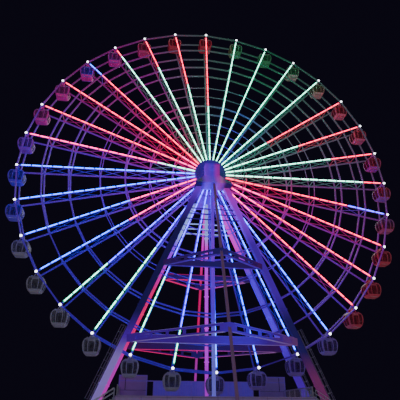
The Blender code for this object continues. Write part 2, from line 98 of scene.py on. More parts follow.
# %% [markdown]
# ### The camera
# The view is from close to the platform, a little left of its middle, and the
# lens points steeply up.  The eye is 1.56 m above the ground at full size,
# which is 0.156 m on the model.  A matrix of three turns places the camera
# exactly, where a tracking constraint couldn't give it its slight roll.

# %% Place the camera
EYE = Vector((-0.968, -6.028, 0.156))
YAW = radians(-7.835)
PITCH = radians(25.307)
ROLL = radians(0.258)
LENS_MM = 40.5
SENSOR_MM = 36.0


def new_object(name, data):
    thing = bpy.data.objects.new(name, data)
    bpy.context.scene.collection.objects.link(thing)
    return thing


camera_data = bpy.data.cameras.new("photo_camera")
camera_data.sensor_width = SENSOR_MM
camera_data.lens = LENS_MM
camera_data.clip_start = 0.01
camera_data.clip_end = 200.0
camera = new_object("photo_camera", camera_data)
turn = Matrix.Rotation(YAW, 4, "Z") @ Matrix.Rotation(pi / 2 + PITCH, 4, "X")
camera.matrix_world = Matrix.Translation(EYE) @ turn @ Matrix.Rotation(ROLL, 4, "Z")
bpy.context.scene.camera = camera
print("camera at", tuple(round(v, 3) for v in EYE))

# %% [markdown]
# ### Small tools
# Steelwork is mostly bars between two points.  Curves with a bevel could make
# them too, but Blender's cone operator gives a clean rod in a single call when
# both radii are equal, and a unit cube under a matrix makes a flat bar or box.

# %% Bars and boxes
def frame_matrix(start, end, up=BACK):
    """A matrix at the middle of a bar: Z runs along it and Y leans to up."""
    along = (end - start).normalized()
    side = up.cross(along)
    if side.length < 0.001:
        side = RIGHT.cross(along)
    side.normalize()
    turned = Matrix((side, along.cross(side), along)).transposed().to_4x4()
    return Matrix.Translation((start + end) / 2) @ turned


def rod(bm, start, end, radius, sides=6):
    made = bmesh.ops.create_cone(bm, cap_ends=True, segments=sides, radius1=radius,
                                 radius2=radius, depth=(end - start).length,
                                 matrix=frame_matrix(start, end))
    return made["verts"]


def flat_bar(bm, start, end, width, depth, up=BACK):
    size = Matrix.Diagonal((width, depth, (end - start).length, 1.0))
    made = bmesh.ops.create_cube(bm, size=1.0, matrix=frame_matrix(start, end, up) @ size)
    return made["verts"]


def chain(bar, bm, points, *sizes, **options):
    """Bars of one kind from each point to the next."""
    for start, end in zip(points, points[1:]):
        bar(bm, start, end, *sizes, **options)


def block(bm, low, high):
    low, high = Vector(low), Vector(high)
    size = Matrix.Diagonal((*(high - low), 1.0))
    bmesh.ops.create_cube(bm, size=1.0, matrix=Matrix.Translation((low + high) / 2) @ size)


def upright(bm, x, y, half_x, half_y, low, high):
    """A box round an upright line, from one height to another."""
    block(bm, (x - half_x, y - half_y, low), (x + half_x, y + half_y, high))


def spaced(start, stop, pitch):
    """Values in even steps from start, all below stop."""
    return [start + pitch * k for k in range(ceil((stop - start) / pitch))]


# %% Finished pieces and repainted nodes
def finish_piece(name, bm, material, body, smooth=None):
    """Turn a bmesh into a piece that rides on a body."""
    bmesh.ops.recalc_face_normals(bm, faces=bm.faces)
    mesh = bpy.data.meshes.new(name)
    bm.to_mesh(mesh)
    bm.free()
    mesh.materials.append(material)
    if smooth is not None:
        mesh.shade_smooth()
        mesh.set_sharp_from_angle(angle=radians(smooth))
    piece = new_object(name, mesh)
    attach(piece, body)
    if body not in pivots:
        print("made", name, "of", len(mesh.polygons), "faces")
    return piece


def repaint(material, *names):
    """Give nodes of the frame their finish."""
    for name in names:
        mesh = nodes[name].data
        mesh.materials.clear()
        mesh.materials.append(material)


# %% [markdown]
# ### Painted steel under coloured light
# The real steel is white.  At night lamps of many colours wash it: blue and
# violet on the left of the wheel, green at the top right, red at the right.
# Real lamps in the scene would each cost render time and leave the other views
# dark.  So each paint is a Principled shader with a faint cloudy colour change,
# small bumps from the sprayed coat, and a low glow whose colour follows the
# place on the object.

# %% Shader node helpers
def new_material(name):
    material = bpy.data.materials.new(name)
    material.use_nodes = True
    tree = material.node_tree
    return material, tree, tree.nodes["Principled BSDF"]


def set_inputs(tree, node, inputs):
    """Link an input to the socket given for it, or hold it at the value given."""
    for name, value in inputs.items():
        socket = node.inputs[name]
        if isinstance(value, bpy.types.NodeSocket):
            tree.links.new(value, socket)
        elif socket.type == "RGBA":
            socket.default_value = (*value, 1.0)
        else:
            socket.default_value = value


def new_node(tree, kind, inputs, **settings):
    """A node whose settings are made before its inputs are looked up."""
    node = tree.nodes.new("ShaderNode" + kind)
    for name, value in settings.items():
        setattr(node, name, value)
    set_inputs(tree, node, inputs)
    return node


def object_coordinates(tree):
    return tree.nodes.new("ShaderNodeTexCoord").outputs["Object"]


def noise(tree, coordinates, scale, detail=3.0, roughness=0.5):
    return new_node(tree, "TexNoise", {"Vector": coordinates, "Scale": scale, "Detail": detail,
                                       "Roughness": roughness}).outputs["Fac"]


def ramp(tree, factor, bands):
    """A colour ramp; a band is the one or two places that have a colour, then it."""
    node = new_node(tree, "ValToRGB", {"Fac": factor})
    stops = [(place, colour) for *places, colour in bands for place in places]
    elements = node.color_ramp.elements
    while len(elements) < len(stops):
        elements.new(0.5)
    for element, (place, colour) in zip(elements, stops):
        element.position = place
        element.color = (*colour, 1.0)
    return node.outputs["Color"]


def mix_colours(tree, factor, first, second):
    inputs = {"Factor": factor, "A": first, "B": second}
    return new_node(tree, "Mix", inputs, data_type="RGBA").outputs["Result"]


def share_of_range(tree, value, low, high):
    """Where a value lies between two limits, from 0 to 1."""
    inputs = {"Value": value, "From Min": low, "From Max": high}
    return new_node(tree, "MapRange", inputs).outputs["Result"]


# %% Weathered paint and the wash of light on it
PEEL_FINENESS = 22
PEEL_STRENGTH = 0.08
PEEL_DEPTH = 0.002


def weathered_paint(tree, shader, colour, roughness, scale=9.0, change=0.10):
    """Cloudy colour, uneven gloss and an orange-peel coat on a paint."""
    coordinates = object_coordinates(tree)
    clouds = noise(tree, coordinates, scale, 5.0, 0.6)
    darker = tuple(value * (1 - change) for value in colour)
    lighter = tuple(min(1.0, value * (1 + change / 2)) for value in colour)
    dull, glossy = (roughness + 0.14,) * 3, (roughness - 0.06,) * 3
    peel = noise(tree, coordinates, scale * PEEL_FINENESS, 2.0, 0.5)
    coat = new_node(tree, "Bump", {"Height": peel, "Strength": PEEL_STRENGTH,
                                   "Distance": PEEL_DEPTH})
    set_inputs(tree, shader, {
        "Base Color": ramp(tree, clouds, [(0.30, darker), (0.50, colour), (0.72, lighter)]),
        "Roughness": ramp(tree, clouds, [(0.25, dull), (0.75, glossy)]),
        "Normal": coat.outputs["Normal"],
    })
    return coordinates


def coloured_wash(tree, shader, wash, glow, strength, share):
    """Let a wash of lamp light glow on the paint and tint its own colour."""
    paint = shader.inputs["Base Color"].links[0].from_socket
    set_inputs(tree, shader, {"Emission Color": glow, "Emission Strength": strength,
                              "Base Color": mix_colours(tree, share, paint, wash)})


# %% [markdown]
# ### The wheel's paint
# The glow turns with the angle round the hub.  A gradient texture of the radial
# kind gives that angle without any drawing by hand: a Mapping node puts its
# centre on the hub, and a ramp gives each angle its colour.

# %% A glow whose colour follows the angle round the hub
NEAR_TO_FAR = (0.25, 0.65)
FADING = (0.20, 1.45)


def own_light(tree):
    """The colour that a piece's faces hold in their attribute named light."""
    return new_node(tree, "Attribute", {}, attribute_name="light").outputs["Color"]


def wheel_paint(name, colour, roughness, strength, share, near, far=None, own=0.0):
    """Paint with one ring of colours near the hub and another, if given, at the rim.

    Pieces close to a light strip also hold that strip's colour on their faces,
    and own is the share which it takes.
    """
    material, tree, shader = new_material(name)
    coordinates = weathered_paint(tree, shader, colour, roughness)
    centred = {"Vector": coordinates, "Location": HUB, "Rotation": (pi / 2, 0.0, 0.0)}
    place = new_node(tree, "Mapping", centred, vector_type="TEXTURE").outputs["Vector"]
    turned = new_node(tree, "TexGradient", {"Vector": place},
                      gradient_type="RADIAL").outputs["Fac"]
    reach = new_node(tree, "VectorMath", {"Vector": place}, operation="LENGTH").outputs["Value"]
    outwards, fading = (share_of_range(tree, reach, low * WHEEL_RADIUS, high * WHEEL_RADIUS)
                        for low, high in (NEAR_TO_FAR, FADING))
    wash = mix_colours(tree, outwards, ramp(tree, turned, near), ramp(tree, turned, far or near))
    if own:
        wash = mix_colours(tree, own, wash, own_light(tree))
    glow = mix_colours(tree, fading, wash, (0.0, 0.0, 0.0))
    coloured_wash(tree, shader, wash, glow, strength, share)
    return material


# %% The colours of the lamp light painted on the wheel, and the paints of its steel
VIOLET = (0.26, 0.0, 1.0)
BLUE = (0.11, 0.0, 1.0)
INDIGO = (0.09, 0.0, 0.45)
PEARL = (0.16, 0.26, 0.27)
MINT = (0.03, 0.32, 0.17)
MAUVE = (0.52, 0.02, 0.46)
CRIMSON = (0.80, 0.0, 0.16)
PURPLE = (0.50, 0.0, 0.72)
ASH = (0.26, 0.24, 0.36)
HEATHER = (0.36, 0.08, 0.44)
TEAL = (0.04, 0.12, 0.40)
# Shares of a turn: 0 is the left of the wheel, 0.25 its bottom, 0.5 its right
# and 0.75 its top, as the front shows them.
WASH_AT_THE_RIM = [
    (0.00, VIOLET), (0.08, 0.20, BLUE), (0.30, INDIGO), (0.38, VIOLET), (0.44, PURPLE),
    (0.50, HEATHER), (0.56, ASH), (0.61, PEARL), (0.68, MINT), (0.76, PEARL),
    (0.83, 0.90, MAUVE), (0.96, 1.00, VIOLET),
]
WASH_NEAR_THE_HUB = [
    (0.00, 0.08, PURPLE), (0.16, 0.30, VIOLET), (0.40, PURPLE), (0.48, CRIMSON),
    (0.53, 0.60, PEARL), (0.68, BLUE), (0.76, PEARL), (0.84, 0.92, CRIMSON),
    (0.97, 1.00, PURPLE),
]
WASH_ON_THE_HUB = [(0.0, 0.25, INDIGO), (0.50, TEAL), (0.75, BLUE), (1.0, INDIGO)]
lattice_paint, bracing_paint = (
    wheel_paint(name, (0.78, 0.79, 0.83), 0.42, 0.34, 0.96, WASH_NEAR_THE_HUB,
                WASH_AT_THE_RIM, own)
    for name, own in (("white_lattice_paint", 0.0), ("white_bracing_paint", 0.60)))
hub_paint = wheel_paint("grey_hub_paint", (0.16, 0.18, 0.40), 0.34, 0.16, 0.60,
                        WASH_ON_THE_HUB)
repaint(lattice_paint, "front_wheel_lattice", "rear_wheel_lattice")
repaint(hub_paint, "wheel_hub")
print("bands of colour round the rim:", len(WASH_AT_THE_RIM))


# %% [markdown]
# ### The towers' paint
# Each leg passes through several lights on its way up, and the girders pass
# through them from side to side; where no lamp reaches, the steel is painted
# near black as painted shade.  One coordinate of the place, stretched to 0 to
# 1 and sent through a ramp, gives either.

# %% A glow whose colour follows the height or the width
def tower_paint(name, bands, strength=0.80, reach=None):
    """Grey tower steel with a wash from the ground up to the hub's height.

    If reach is given, the wash runs from left to right that far from the middle.
    """
    material, tree, shader = new_material(name)
    coordinates = weathered_paint(tree, shader, (0.60, 0.60, 0.68), 0.40)
    parts = new_node(tree, "SeparateXYZ", {"Vector": coordinates}).outputs
    if reach:
        share = share_of_range(tree, parts["X"], -reach, reach)
    else:
        share = share_of_range(tree, parts["Z"], 0.0, HUB.z)
    # The wash is painted lamp light, and painted shade where its colour is near black; it glows
    # and also makes most of the base colour.
    wash = ramp(tree, share, bands)
    coloured_wash(tree, shader, wash, wash, strength, 0.95)
    set_inputs(tree, shader, {"Specular IOR Level": 0.25})
    return material


# %% The colours of the painted light and shade on the towers, and their paints
# Each colour is the light that washes a stretch of grey steel; the darkest are painted shade.
LAVENDER = (0.30, 0.20, 0.66)
PERIWINKLE = (0.20, 0.18, 0.90)
ULTRAMARINE = (0.07, 0.0, 0.42)
# Painted shade: nearly black, where the steel lies between the lamps.
NIGHT = (0.012, 0.004, 0.10)
MAGENTA = (1.0, 0.0, 0.78)
ORCHID = (0.75, 0.0, 0.95)
ROSE = (0.85, 0.0, 0.16)
DUSK = (0.24, 0.07, 0.28)
WINE = (0.16, 0.02, 0.12)
# Painted shade: the near-black colour of steel that no lamp reaches.
UNLIT_BLACK = (0.03, 0.0, 0.05)
ICE = (0.34, 0.50, 0.80)
LEG_PAINT = {
    ("front", "left"): tower_paint("front_left_leg_paint", [
        (0.05, 0.22, LAVENDER), (0.29, INDIGO), (0.38, 0.74, NIGHT), (0.84, INDIGO),
        (0.91, VIOLET)], 0.50),
    ("front", "right"): tower_paint("front_right_leg_paint", [
        (0.05, 0.16, WINE), (0.25, 0.36, NIGHT), (0.46, 0.66, ULTRAMARINE), (0.76, VIOLET),
        (0.86, PURPLE), (0.91, MAUVE)], 0.60),
    ("rear", "left"): tower_paint("rear_left_leg_paint", [
        (0.05, 0.22, MAUVE), (0.30, 0.50, ROSE), (0.62, PURPLE), (0.70, VIOLET),
        (0.75, 0.90, ICE)]),
    ("rear", "right"): tower_paint("rear_right_leg_paint", [
        (0.05, INDIGO), (0.22, ULTRAMARINE), (0.32, 0.58, BLUE), (0.66, PURPLE),
        (0.71, 1.00, MAGENTA)], 0.65),
}
TIE_PAINT = {end: LEG_PAINT[end, "left"] for end in ("front", "rear")}
COLUMN_PAINT = {
    "front": tower_paint("front_column_paint", [
        (0.08, 0.26, PERIWINKLE), (0.38, BLUE), (0.60, VIOLET), (0.95, BLUE)], 0.50),
    "rear": tower_paint("rear_column_paint", [
        (0.08, PURPLE), (0.30, 0.62, ORCHID), (0.70, MAGENTA), (0.75, 0.95, ICE)], 0.70),
}
rear_stay_paint = tower_paint("rear_stay_paint", [
    (0.08, 0.25, MAUVE), (0.34, 0.62, ROSE), (0.75, MAGENTA)], 0.60)
head_paint = tower_paint("tower_head_paint", [
    (0.16, NIGHT), (0.30, VIOLET), (0.50, BLUE), (0.60, PURPLE), (0.70, MAUVE), (0.84, NIGHT)],
    0.42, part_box("front_tower_head")[1].x)
ring_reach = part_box("front_low_ring_girder")[1].x
# Webs and cover plates of the ring girders take different washes: the plates painted coloured
# light, the webs mostly near-black painted shade.
unlit_web, blue_lit_web, dim_lit_flange, pale_lit_flange, rose_lit_flange = (
    tower_paint(name, bands, strength, ring_reach) for name, strength, bands in (
        ("girder_web_painted_shade", 0.90, [(0.0, UNLIT_BLACK), (0.5, NIGHT), (1.0, UNLIT_BLACK)]),
        ("girder_web_painted_blue_light", 0.30, [
            (0.0, 0.40, INDIGO), (0.56, 0.72, BLUE), (0.82, INDIGO), (1.0, DUSK)]),
        ("girder_flange_painted_dim_light", 0.55, [
            (0.0, NIGHT), (0.35, 0.70, ULTRAMARINE), (1.0, NIGHT)]),
        ("girder_flange_painted_pale_light", 0.40, [
            (0.0, DUSK), (0.15, 0.48, LAVENDER), (0.60, BLUE), (0.76, LAVENDER), (1.0, DUSK)]),
        ("girder_flange_painted_rose_light", 0.85, [
            (0.0, 0.35, ROSE), (0.60, MAUVE), (0.80, 1.0, DUSK)])))
RING_PAINT = {
    "front_low": (blue_lit_web, pale_lit_flange), "front_middle": (unlit_web, dim_lit_flange),
    "rear_low": (unlit_web, rose_lit_flange), "rear_middle": (unlit_web, rose_lit_flange),
}
for (end, hand), paint in LEG_PAINT.items():
    repaint(paint, end + "_" + hand + "_leg")
for end, paint in COLUMN_PAINT.items():
    repaint(paint, end + "_plumb_column")
for ring, (web, flange) in RING_PAINT.items():
    repaint(web, ring + "_ring_girder")
repaint(head_paint, "front_tower_head", "rear_tower_head")
repaint(rear_stay_paint, "rear_stay_leg")
print("painted legs:", len(LEG_PAINT), "and ring girders:", len(RING_PAINT))


# %% [markdown]
# ### Plain finishes
# Stay, ladders, rails and platform stand outside the strong lights.  They get
# the same weathered paint with one faint glow all over, held on the shader.

# %% Paints of the stay, the ladders and the platform
def plain_paint(name, colour, roughness, metallic=0.0, glow=None, **cloud):
    """A plain paint; glow is the colour of the lamp light that rests on it."""
    material, tree, shader = new_material(name)
    weathered_paint(tree, shader, colour, roughness, **cloud)
    set_inputs(tree, shader, {"Metallic": metallic})
    if glow:
        set_inputs(tree, shader, {"Emission Color": glow, "Emission Strength": 1.0})
    return material


stay_paint = plain_paint("brown_stay_paint", (0.26, 0.18, 0.22), 0.48, change=0.18,
                         glow=(0.030, 0.008, 0.045))
cladding_paint = plain_paint("cream_cladding_paint", (0.34, 0.30, 0.36), 0.50, change=0.08,
                             glow=(0.012, 0.004, 0.050))
fascia_paint = plain_paint("cream_fascia_paint", (0.42, 0.36, 0.38), 0.50, change=0.08,
                           glow=(0.030, 0.010, 0.070))
frame_paint = plain_paint("grey_frame_paint", (0.22, 0.20, 0.34), 0.45, 0.2,
                          glow=(0.030, 0.010, 0.14))
ladder_paint = plain_paint("dim_ladder_paint", (0.26, 0.25, 0.32), 0.42, 0.5, scale=26.0,
                           change=0.16, glow=(0.010, 0.004, 0.020))
galvanised = plain_paint("galvanised_steel", (0.56, 0.57, 0.60), 0.38, 0.7, scale=26.0,
                         change=0.16)
dark_seal = plain_paint("dark_seal", (0.035, 0.035, 0.042), 0.62, change=0.25)
repaint(stay_paint, "front_stay_leg")
repaint(frame_paint, "rear_screen", "platform_frame")
repaint(galvanised, "left_parapet", "right_parapet", "left_stair", "right_stair")
repaint(fascia_paint, "platform_deck")
print("paints so far:", len(bpy.data.materials))

# %% [markdown]
# ### Light strips
# Each front spoke carries a row of diffuser bars in an aluminium channel.  A
# striped texture could fake the dashes, but real bars with small gaps keep them
# sharp from every side.  Their colour is stored on the faces as an attribute,
# so that one material lights the whole wheel.

# %% The lighting programme, from the top anticlockwise
CORE, HALO = 0, 1
# The core is the colour of the strip itself, the halo that of the steel near it.
LIGHT = {
    "red": ((0.85, 0.01, 0.09), (1.0, 0.0, 0.05)),
    "rose": ((0.85, 0.02, 0.25), (0.9, 0.0, 0.22)),
    "ice": ((0.03, 0.15, 1.0), (0.02, 0.02, 1.0)),
    "blue": ((0.08, 0.05, 1.0), (0.08, 0.0, 1.0)),
    "mint": ((0.36, 1.0, 0.78), (0.0, 0.50, 0.30)),
}
# Each row: first and last spoke, the outer colour, the fraction of the radius
# down to which it reaches on those two spokes, and the inner colour.
LIGHT_ROWS = [
    (0, 0, "red", 0.46, 0.46, "mint"),
    (1, 3, "red", 0.63, 0.94, "mint"),
    (4, 4, "ice", 0.85, 0.85, "red"),
    (5, 6, "red", 0.20, 0.20, "rose"),
    (7, 7, "rose", 0.27, 0.27, "mint"),
    (8, 9, "ice", 0.10, 0.10, "ice"),
    (10, 11, "ice", 0.45, 0.52, "rose"),
    (12, 13, "mint", 0.72, 0.50, "blue"),
    (14, 15, "mint", 0.62, 0.82, "blue"),
    (16, 19, "ice", 0.50, 0.50, "ice"),
    (20, 22, "red", 0.30, 0.30, "rose"),
    (23, 23, "blue", 0.78, 0.78, "red"),
    (24, 27, "red", 0.88, 0.42, "mint"),
    (28, 31, "mint", 0.30, 0.30, "mint"),
]


def light_of(index, fraction, part):
    """The strip's core or halo on a spoke at a fraction of the radius."""
    row = next(row for row in LIGHT_ROWS if row[0] <= index <= row[1])
    first, last, outer, at_first, at_last, inner = row
    share = (index - first) / max(1, last - first)
    border = at_first + (at_last - at_first) * share
    return LIGHT[outer if fraction > border else inner][part]


def lit_bmesh():
    """An empty bmesh whose faces can hold the light that rests on them."""
    bm = bmesh.new()
    bm.faces.layers.float_color.new("light")
    return bm


def colour_faces(bm, vertices, colour):
    layer = bm.faces.layers.float_color["light"]
    for face in {face for vertex in vertices for face in vertex.link_faces}:
        face[layer] = (*colour, 1.0)


# %% Model the channels and the diffuser bars
STRIP_START = 0.086
STRIP_END = 0.985
STRIP_BARS = 17
# Each: share of the bar's pitch that it fills, width, depth and part of the light.
STRIP = (0.85, 0.0100, 0.009, CORE)
CHANNEL = (0.97, 0.0250, 0.004, HALO)
BAR_PITCH = (STRIP_END - STRIP_START) / STRIP_BARS


def row_of_bars(bm, y, filled, width, depth, part):
    """A row of bars before each spoke, coloured by the programme."""
    for index in range(SPOKES):
        for bar in range(STRIP_BARS):
            start = STRIP_START + BAR_PITCH * bar
            end = start + BAR_PITCH * filled
            made = flat_bar(bm, on_wheel(index, start, y), on_wheel(index, end, y), width, depth)
            colour_faces(bm, made, light_of(index, (start + end) / 2, part))
    return bm


def lit_material(name, strength, roughness):
    """A surface that shines in its faces' own colour."""
    material, tree, shader = new_material(name)
    shine = own_light(tree)
    set_inputs(tree, shader, {"Base Color": shine, "Emission Color": shine,
                              "Emission Strength": strength, "Roughness": roughness})
    return material


channel_y = FACE_Y - GAP - CHANNEL[2] / 2
strip_y = FACE_Y - 2 * GAP - CHANNEL[2] - STRIP[2] / 2
finish_piece("spoke_light_strips", row_of_bars(lit_bmesh(), strip_y, *STRIP),
             lit_material("light_strip_diffuser", 8.0, 0.35), "wheel")
finish_piece("light_strip_channels", row_of_bars(lit_bmesh(), channel_y, *CHANNEL),
             lit_material("lit_aluminium_channel", 0.55, 0.45), "wheel")

# %% [markdown]
# ### Rim lamps
# A bright lamp sits on the front end of every spoke: a short drum with a domed
# lens.  Spinning a profile about the lamp's own Y axis gives the round form
# with few faces, where a sphere would waste its hidden half.

# %% Spin the lamp's profile and set one on each spoke
LAMP_RADIUS = 0.019
LAMP_REACH = 0.024
DRUM_DEPTH = 0.008
LENS_RADIUS = LAMP_RADIUS * 0.9
DOME_STEPS = 4


def spun(bm, profile, centre, sides=12):
    """Spin (y, radius) points about a Y axis through the centre."""
    points = [bm.verts.new(centre + Vector((0, y, radius))) for y, radius in profile]
    edges = [bm.edges.new(pair) for pair in zip(points, points[1:])]
    bmesh.ops.spin(bm, geom=points + edges, cent=centre, axis=(0, 1, 0), angle=2 * pi,
                   steps=sides, use_merge=True)
    bmesh.ops.remove_doubles(bm, verts=bm.verts, dist=0.00002)


lens_glass, tree, shader = new_material("rim_lamp_lens")
set_inputs(tree, shader, {"Base Color": (0.95, 0.97, 1.0), "Roughness": 0.18,
                          "Emission Color": (0.86, 0.92, 1.0), "Emission Strength": 6.0})
drum = [(0, 0), (0, LAMP_RADIUS), (-DRUM_DEPTH, LAMP_RADIUS), (-DRUM_DEPTH, 0)]
dome = [(-DRUM_DEPTH - GAP, 0.0), (-DRUM_DEPTH - GAP, LENS_RADIUS)]
for step in range(1, DOME_STEPS + 1):
    bend = pi / 2 * step / DOME_STEPS
    dome.append((-DRUM_DEPTH - (LAMP_REACH - DRUM_DEPTH) * sin(bend), LENS_RADIUS * cos(bend)))
lenses = bmesh.new()
drums = bmesh.new()
for index in range(SPOKES):
    seat = on_wheel(index, 1.0, FACE_Y - GAP)
    spun(drums, drum, seat)
    spun(lenses, dome, seat)
finish_piece("rim_lamp_lenses", lenses, lens_glass, "wheel", smooth=40)
finish_piece("rim_lamp_drums", drums, galvanised, "wheel", smooth=40)

# %% [markdown]
# ### Spoke trusses and rings
# Front and rear spokes are the two chords of a truss that lies in a plane
# through the axle.  Struts join them at each ring and crossed diagonals fill
# the panels.  Beyond the last ring the cabins pass, so nothing crosses there.
# Hundreds of bars need few faces each, so they are rods with five or six sides
# in one mesh per kind.

# %% Rings that the lattices leave to the dressing
RING_FRACTIONS = (0.202, 0.327, 0.455, 0.586, 0.743, 0.877)
LIGHT_RINGS = (0.202, 0.327, 0.586)
RING_ROD = 0.0065
rings = bmesh.new()
for y in (-PLANE_Y, PLANE_Y):
    for fraction in LIGHT_RINGS:
        chain(rod, rings, [on_wheel(k, fraction, y) for k in range(SPOKES + 1)], RING_ROD)
finish_piece("inner_ring_rods", rings, lattice_paint, "wheel", smooth=40)

# %% Struts and crossed diagonals
STRUT_ROD = 0.0065
DIAGONAL_ROD = 0.0050
TRUSS_START = 0.098
struts = lit_bmesh()
diagonals = lit_bmesh()
for index in range(SPOKES):
    for fraction in RING_FRACTIONS:
        made = rod(struts, on_wheel(index, fraction, -INNER_Y),
                   on_wheel(index, fraction, INNER_Y), STRUT_ROD)
        colour_faces(struts, made, light_of(index, fraction, HALO))
    for inner, outer in zip((TRUSS_START,) + RING_FRACTIONS, RING_FRACTIONS):
        for side in SIDES:
            made = rod(diagonals, on_wheel(index, inner, side * INNER_Y),
                       on_wheel(index, outer, -side * INNER_Y), DIAGONAL_ROD, 5)
            colour_faces(diagonals, made, light_of(index, (inner + outer) / 2, HALO))
finish_piece("spoke_struts", struts, bracing_paint, "wheel", smooth=40)
finish_piece("spoke_diagonals", diagonals, bracing_paint, "wheel", smooth=40)

# %% Node plates inside the rear lattice's outer rings and at both rims
PLATE_SIZE = 0.050
PLATE_WIDTH = 0.034
PLATE_THICKNESS = 0.003
plate_y = INNER_Y - PLATE_THICKNESS / 2 - GAP
plate_places = [(fraction, plate_y) for fraction in RING_FRACTIONS[2:]]
plate_places += [(1.0, -plate_y), (1.0, plate_y)]
plates = bmesh.new()
for index in range(SPOKES):
    along = radial(spoke_angle(index)) * (PLATE_SIZE / 2)
    for fraction, y in plate_places:
        centre = on_wheel(index, fraction, y)
        flat_bar(plates, centre - along, centre + along * 0.9, PLATE_WIDTH, PLATE_THICKNESS)
finish_piece("ring_node_plates", plates, lattice_paint, "wheel")

# %% [markdown]
# ### The hub's flange
# Each flange is a thick disc with 32 lugs on its edge, one to a spoke, two
# rings of bolts and a machined boss in the middle.  Lugs and bolts are placed
# by the same angle as the spokes, and boss and raised ring are spun profiles.

# %% Lugs, bolts and the boss
FLANGE_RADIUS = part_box("wheel_hub")[1].x
FLANGE_STANDOFF = 0.0503
FLANGE_FACE = FLANGE_STANDOFF - FACE_Y
LUG_LENGTH = 0.012
LUG_WIDTH = 0.022
LUG_DEPTH = 0.044
# Radius of each ring of bolts, radius of a bolt, and one bolt to so many spokes.
BOLT_RINGS = ((0.196, 0.0055, 1), (0.120, 0.0065, 2))
BOSS = [(0.0, 0.0), (0.0, 0.098), (0.006, 0.098), (0.010, 0.090), (0.010, 0.0)]
RAISED_RING = [(0.0, 0.150), (0.0, 0.168), (0.004, 0.166), (0.004, 0.152), (0.0, 0.150)]
hub_trim = bmesh.new()
hub_bolts = bmesh.new()
lug_start = FLANGE_RADIUS / WHEEL_RADIUS * 0.97
lug_end = (FLANGE_RADIUS + LUG_LENGTH) / WHEEL_RADIUS
for side in SIDES:
    lug_y = side * (FLANGE_FACE - 0.025)
    centre = HUB + BACK * (side * (FLANGE_FACE + GAP))
    for index in range(SPOKES):
        flat_bar(hub_trim, on_wheel(index, lug_start, lug_y), on_wheel(index, lug_end, lug_y),
                 LUG_WIDTH, LUG_DEPTH)
        for ring_radius, bolt_radius, every in BOLT_RINGS:
            if index % every == 0:
                seat = centre + radial(spoke_angle(index) + pi / SPOKES) * ring_radius
                rod(hub_bolts, seat, seat + BACK * (side * 0.006), bolt_radius)
    for profile in (BOSS, RAISED_RING):
        spun(hub_trim, [(side * y, radius) for y, radius in profile], centre, 32)
finish_piece("hub_lugs_and_bosses", hub_trim, hub_paint, "wheel", smooth=35)
finish_piece("hub_bolts", hub_bolts, galvanised, "wheel", smooth=35)

# %% [markdown]
# ### Cabins
# Every cabin is a small barrel: a pale tub, tall curved glass between slim
# tubes, doors between two mullions and a grey roof cap.  The outline of a level
# cut is a rounded rectangle.  It is extruded up through the levels and scaled
# to the barrel's width at each of them, and the faces are then shared out among
# shell, underside, glass and roof.  One barrel that is cut up keeps the joints
# between them tight, which separate shapes would not.

# %% The barrel's levels and bays
cabin_low, cabin_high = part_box(CABINS[0])
CABIN_DROP = first_pivot.z - cabin_low.z
HALF_WIDTH = (cabin_high.x - cabin_low.x) / 2
# The axle is deeper than the tub, so the tub's depth comes from its own corners.
HALF_DEPTH = max(vertex.co.y for vertex in nodes[CABINS[0]].data.vertices
                 if vertex.co.z < first_pivot.z - CABIN_DROP / 2)
print("cabin half width and depth", round(HALF_WIDTH, 4), round(HALF_DEPTH, 4))
# Each level: drop below the pivot, share of the full width and of the depth.
LEVELS = [
    (CABIN_DROP - 0.002, 0.46, 0.40), (CABIN_DROP - 0.010, 0.60, 0.60),
    (0.236, 0.73, 0.78), (0.223, 0.80, 0.87), (0.218, 0.82, 0.89),
    (0.180, 0.935, 0.97), (0.147, 0.995, 1.00), (0.118, 1.00, 1.00),
    (0.094, 0.955, 0.98), (0.074, 0.87, 0.92), (0.068, 0.84, 0.90),
    (0.052, 0.70, 0.79), (0.042, 0.54, 0.64), (0.038, 0.30, 0.40),
]
UNDERSIDE_LEVELS = 1
SILL_LEVEL = 4
DOOR_TOP_LEVEL = 8
EAVES_LEVEL = 9
# Along half of a long side, as shares of the half width: the door's edge, the
# mullion and the window's end.  The corner's round starts at CORNER_START.
DOOR_EDGE, MULLION, WINDOW_END = 0.33, 0.42, 0.82
CORNER_START = 0.86
CORNER_STEPS = 4


def barrel_point(level, across, side):
    """A point on a long side of the barrel, at a share of the level's width."""
    drop, wide, deep = LEVELS[level]
    return Vector((across * HALF_WIDTH * wide, side * HALF_DEPTH * deep, -drop))


# %% The barrel and the tests that share out its faces
def outline_points():
    """Unit outline of a level cut, anticlockwise from the front's middle."""
    quarter = [Vector((x, -1.0)) for x in (DOOR_EDGE, MULLION, WINDOW_END)]
    radius = 1.0 - CORNER_START
    for step in range(1, CORNER_STEPS):
        bend = pi / 2 * step / CORNER_STEPS
        quarter.append(Vector((CORNER_START + radius * sin(bend),
                               -CORNER_START - radius * cos(bend))))
    quarter += [Vector((1.0, -0.78)), Vector((1.0, -0.05))]
    half = quarter + [Vector((point.x, -point.y)) for point in reversed(quarter)]
    return half + [-point for point in half]


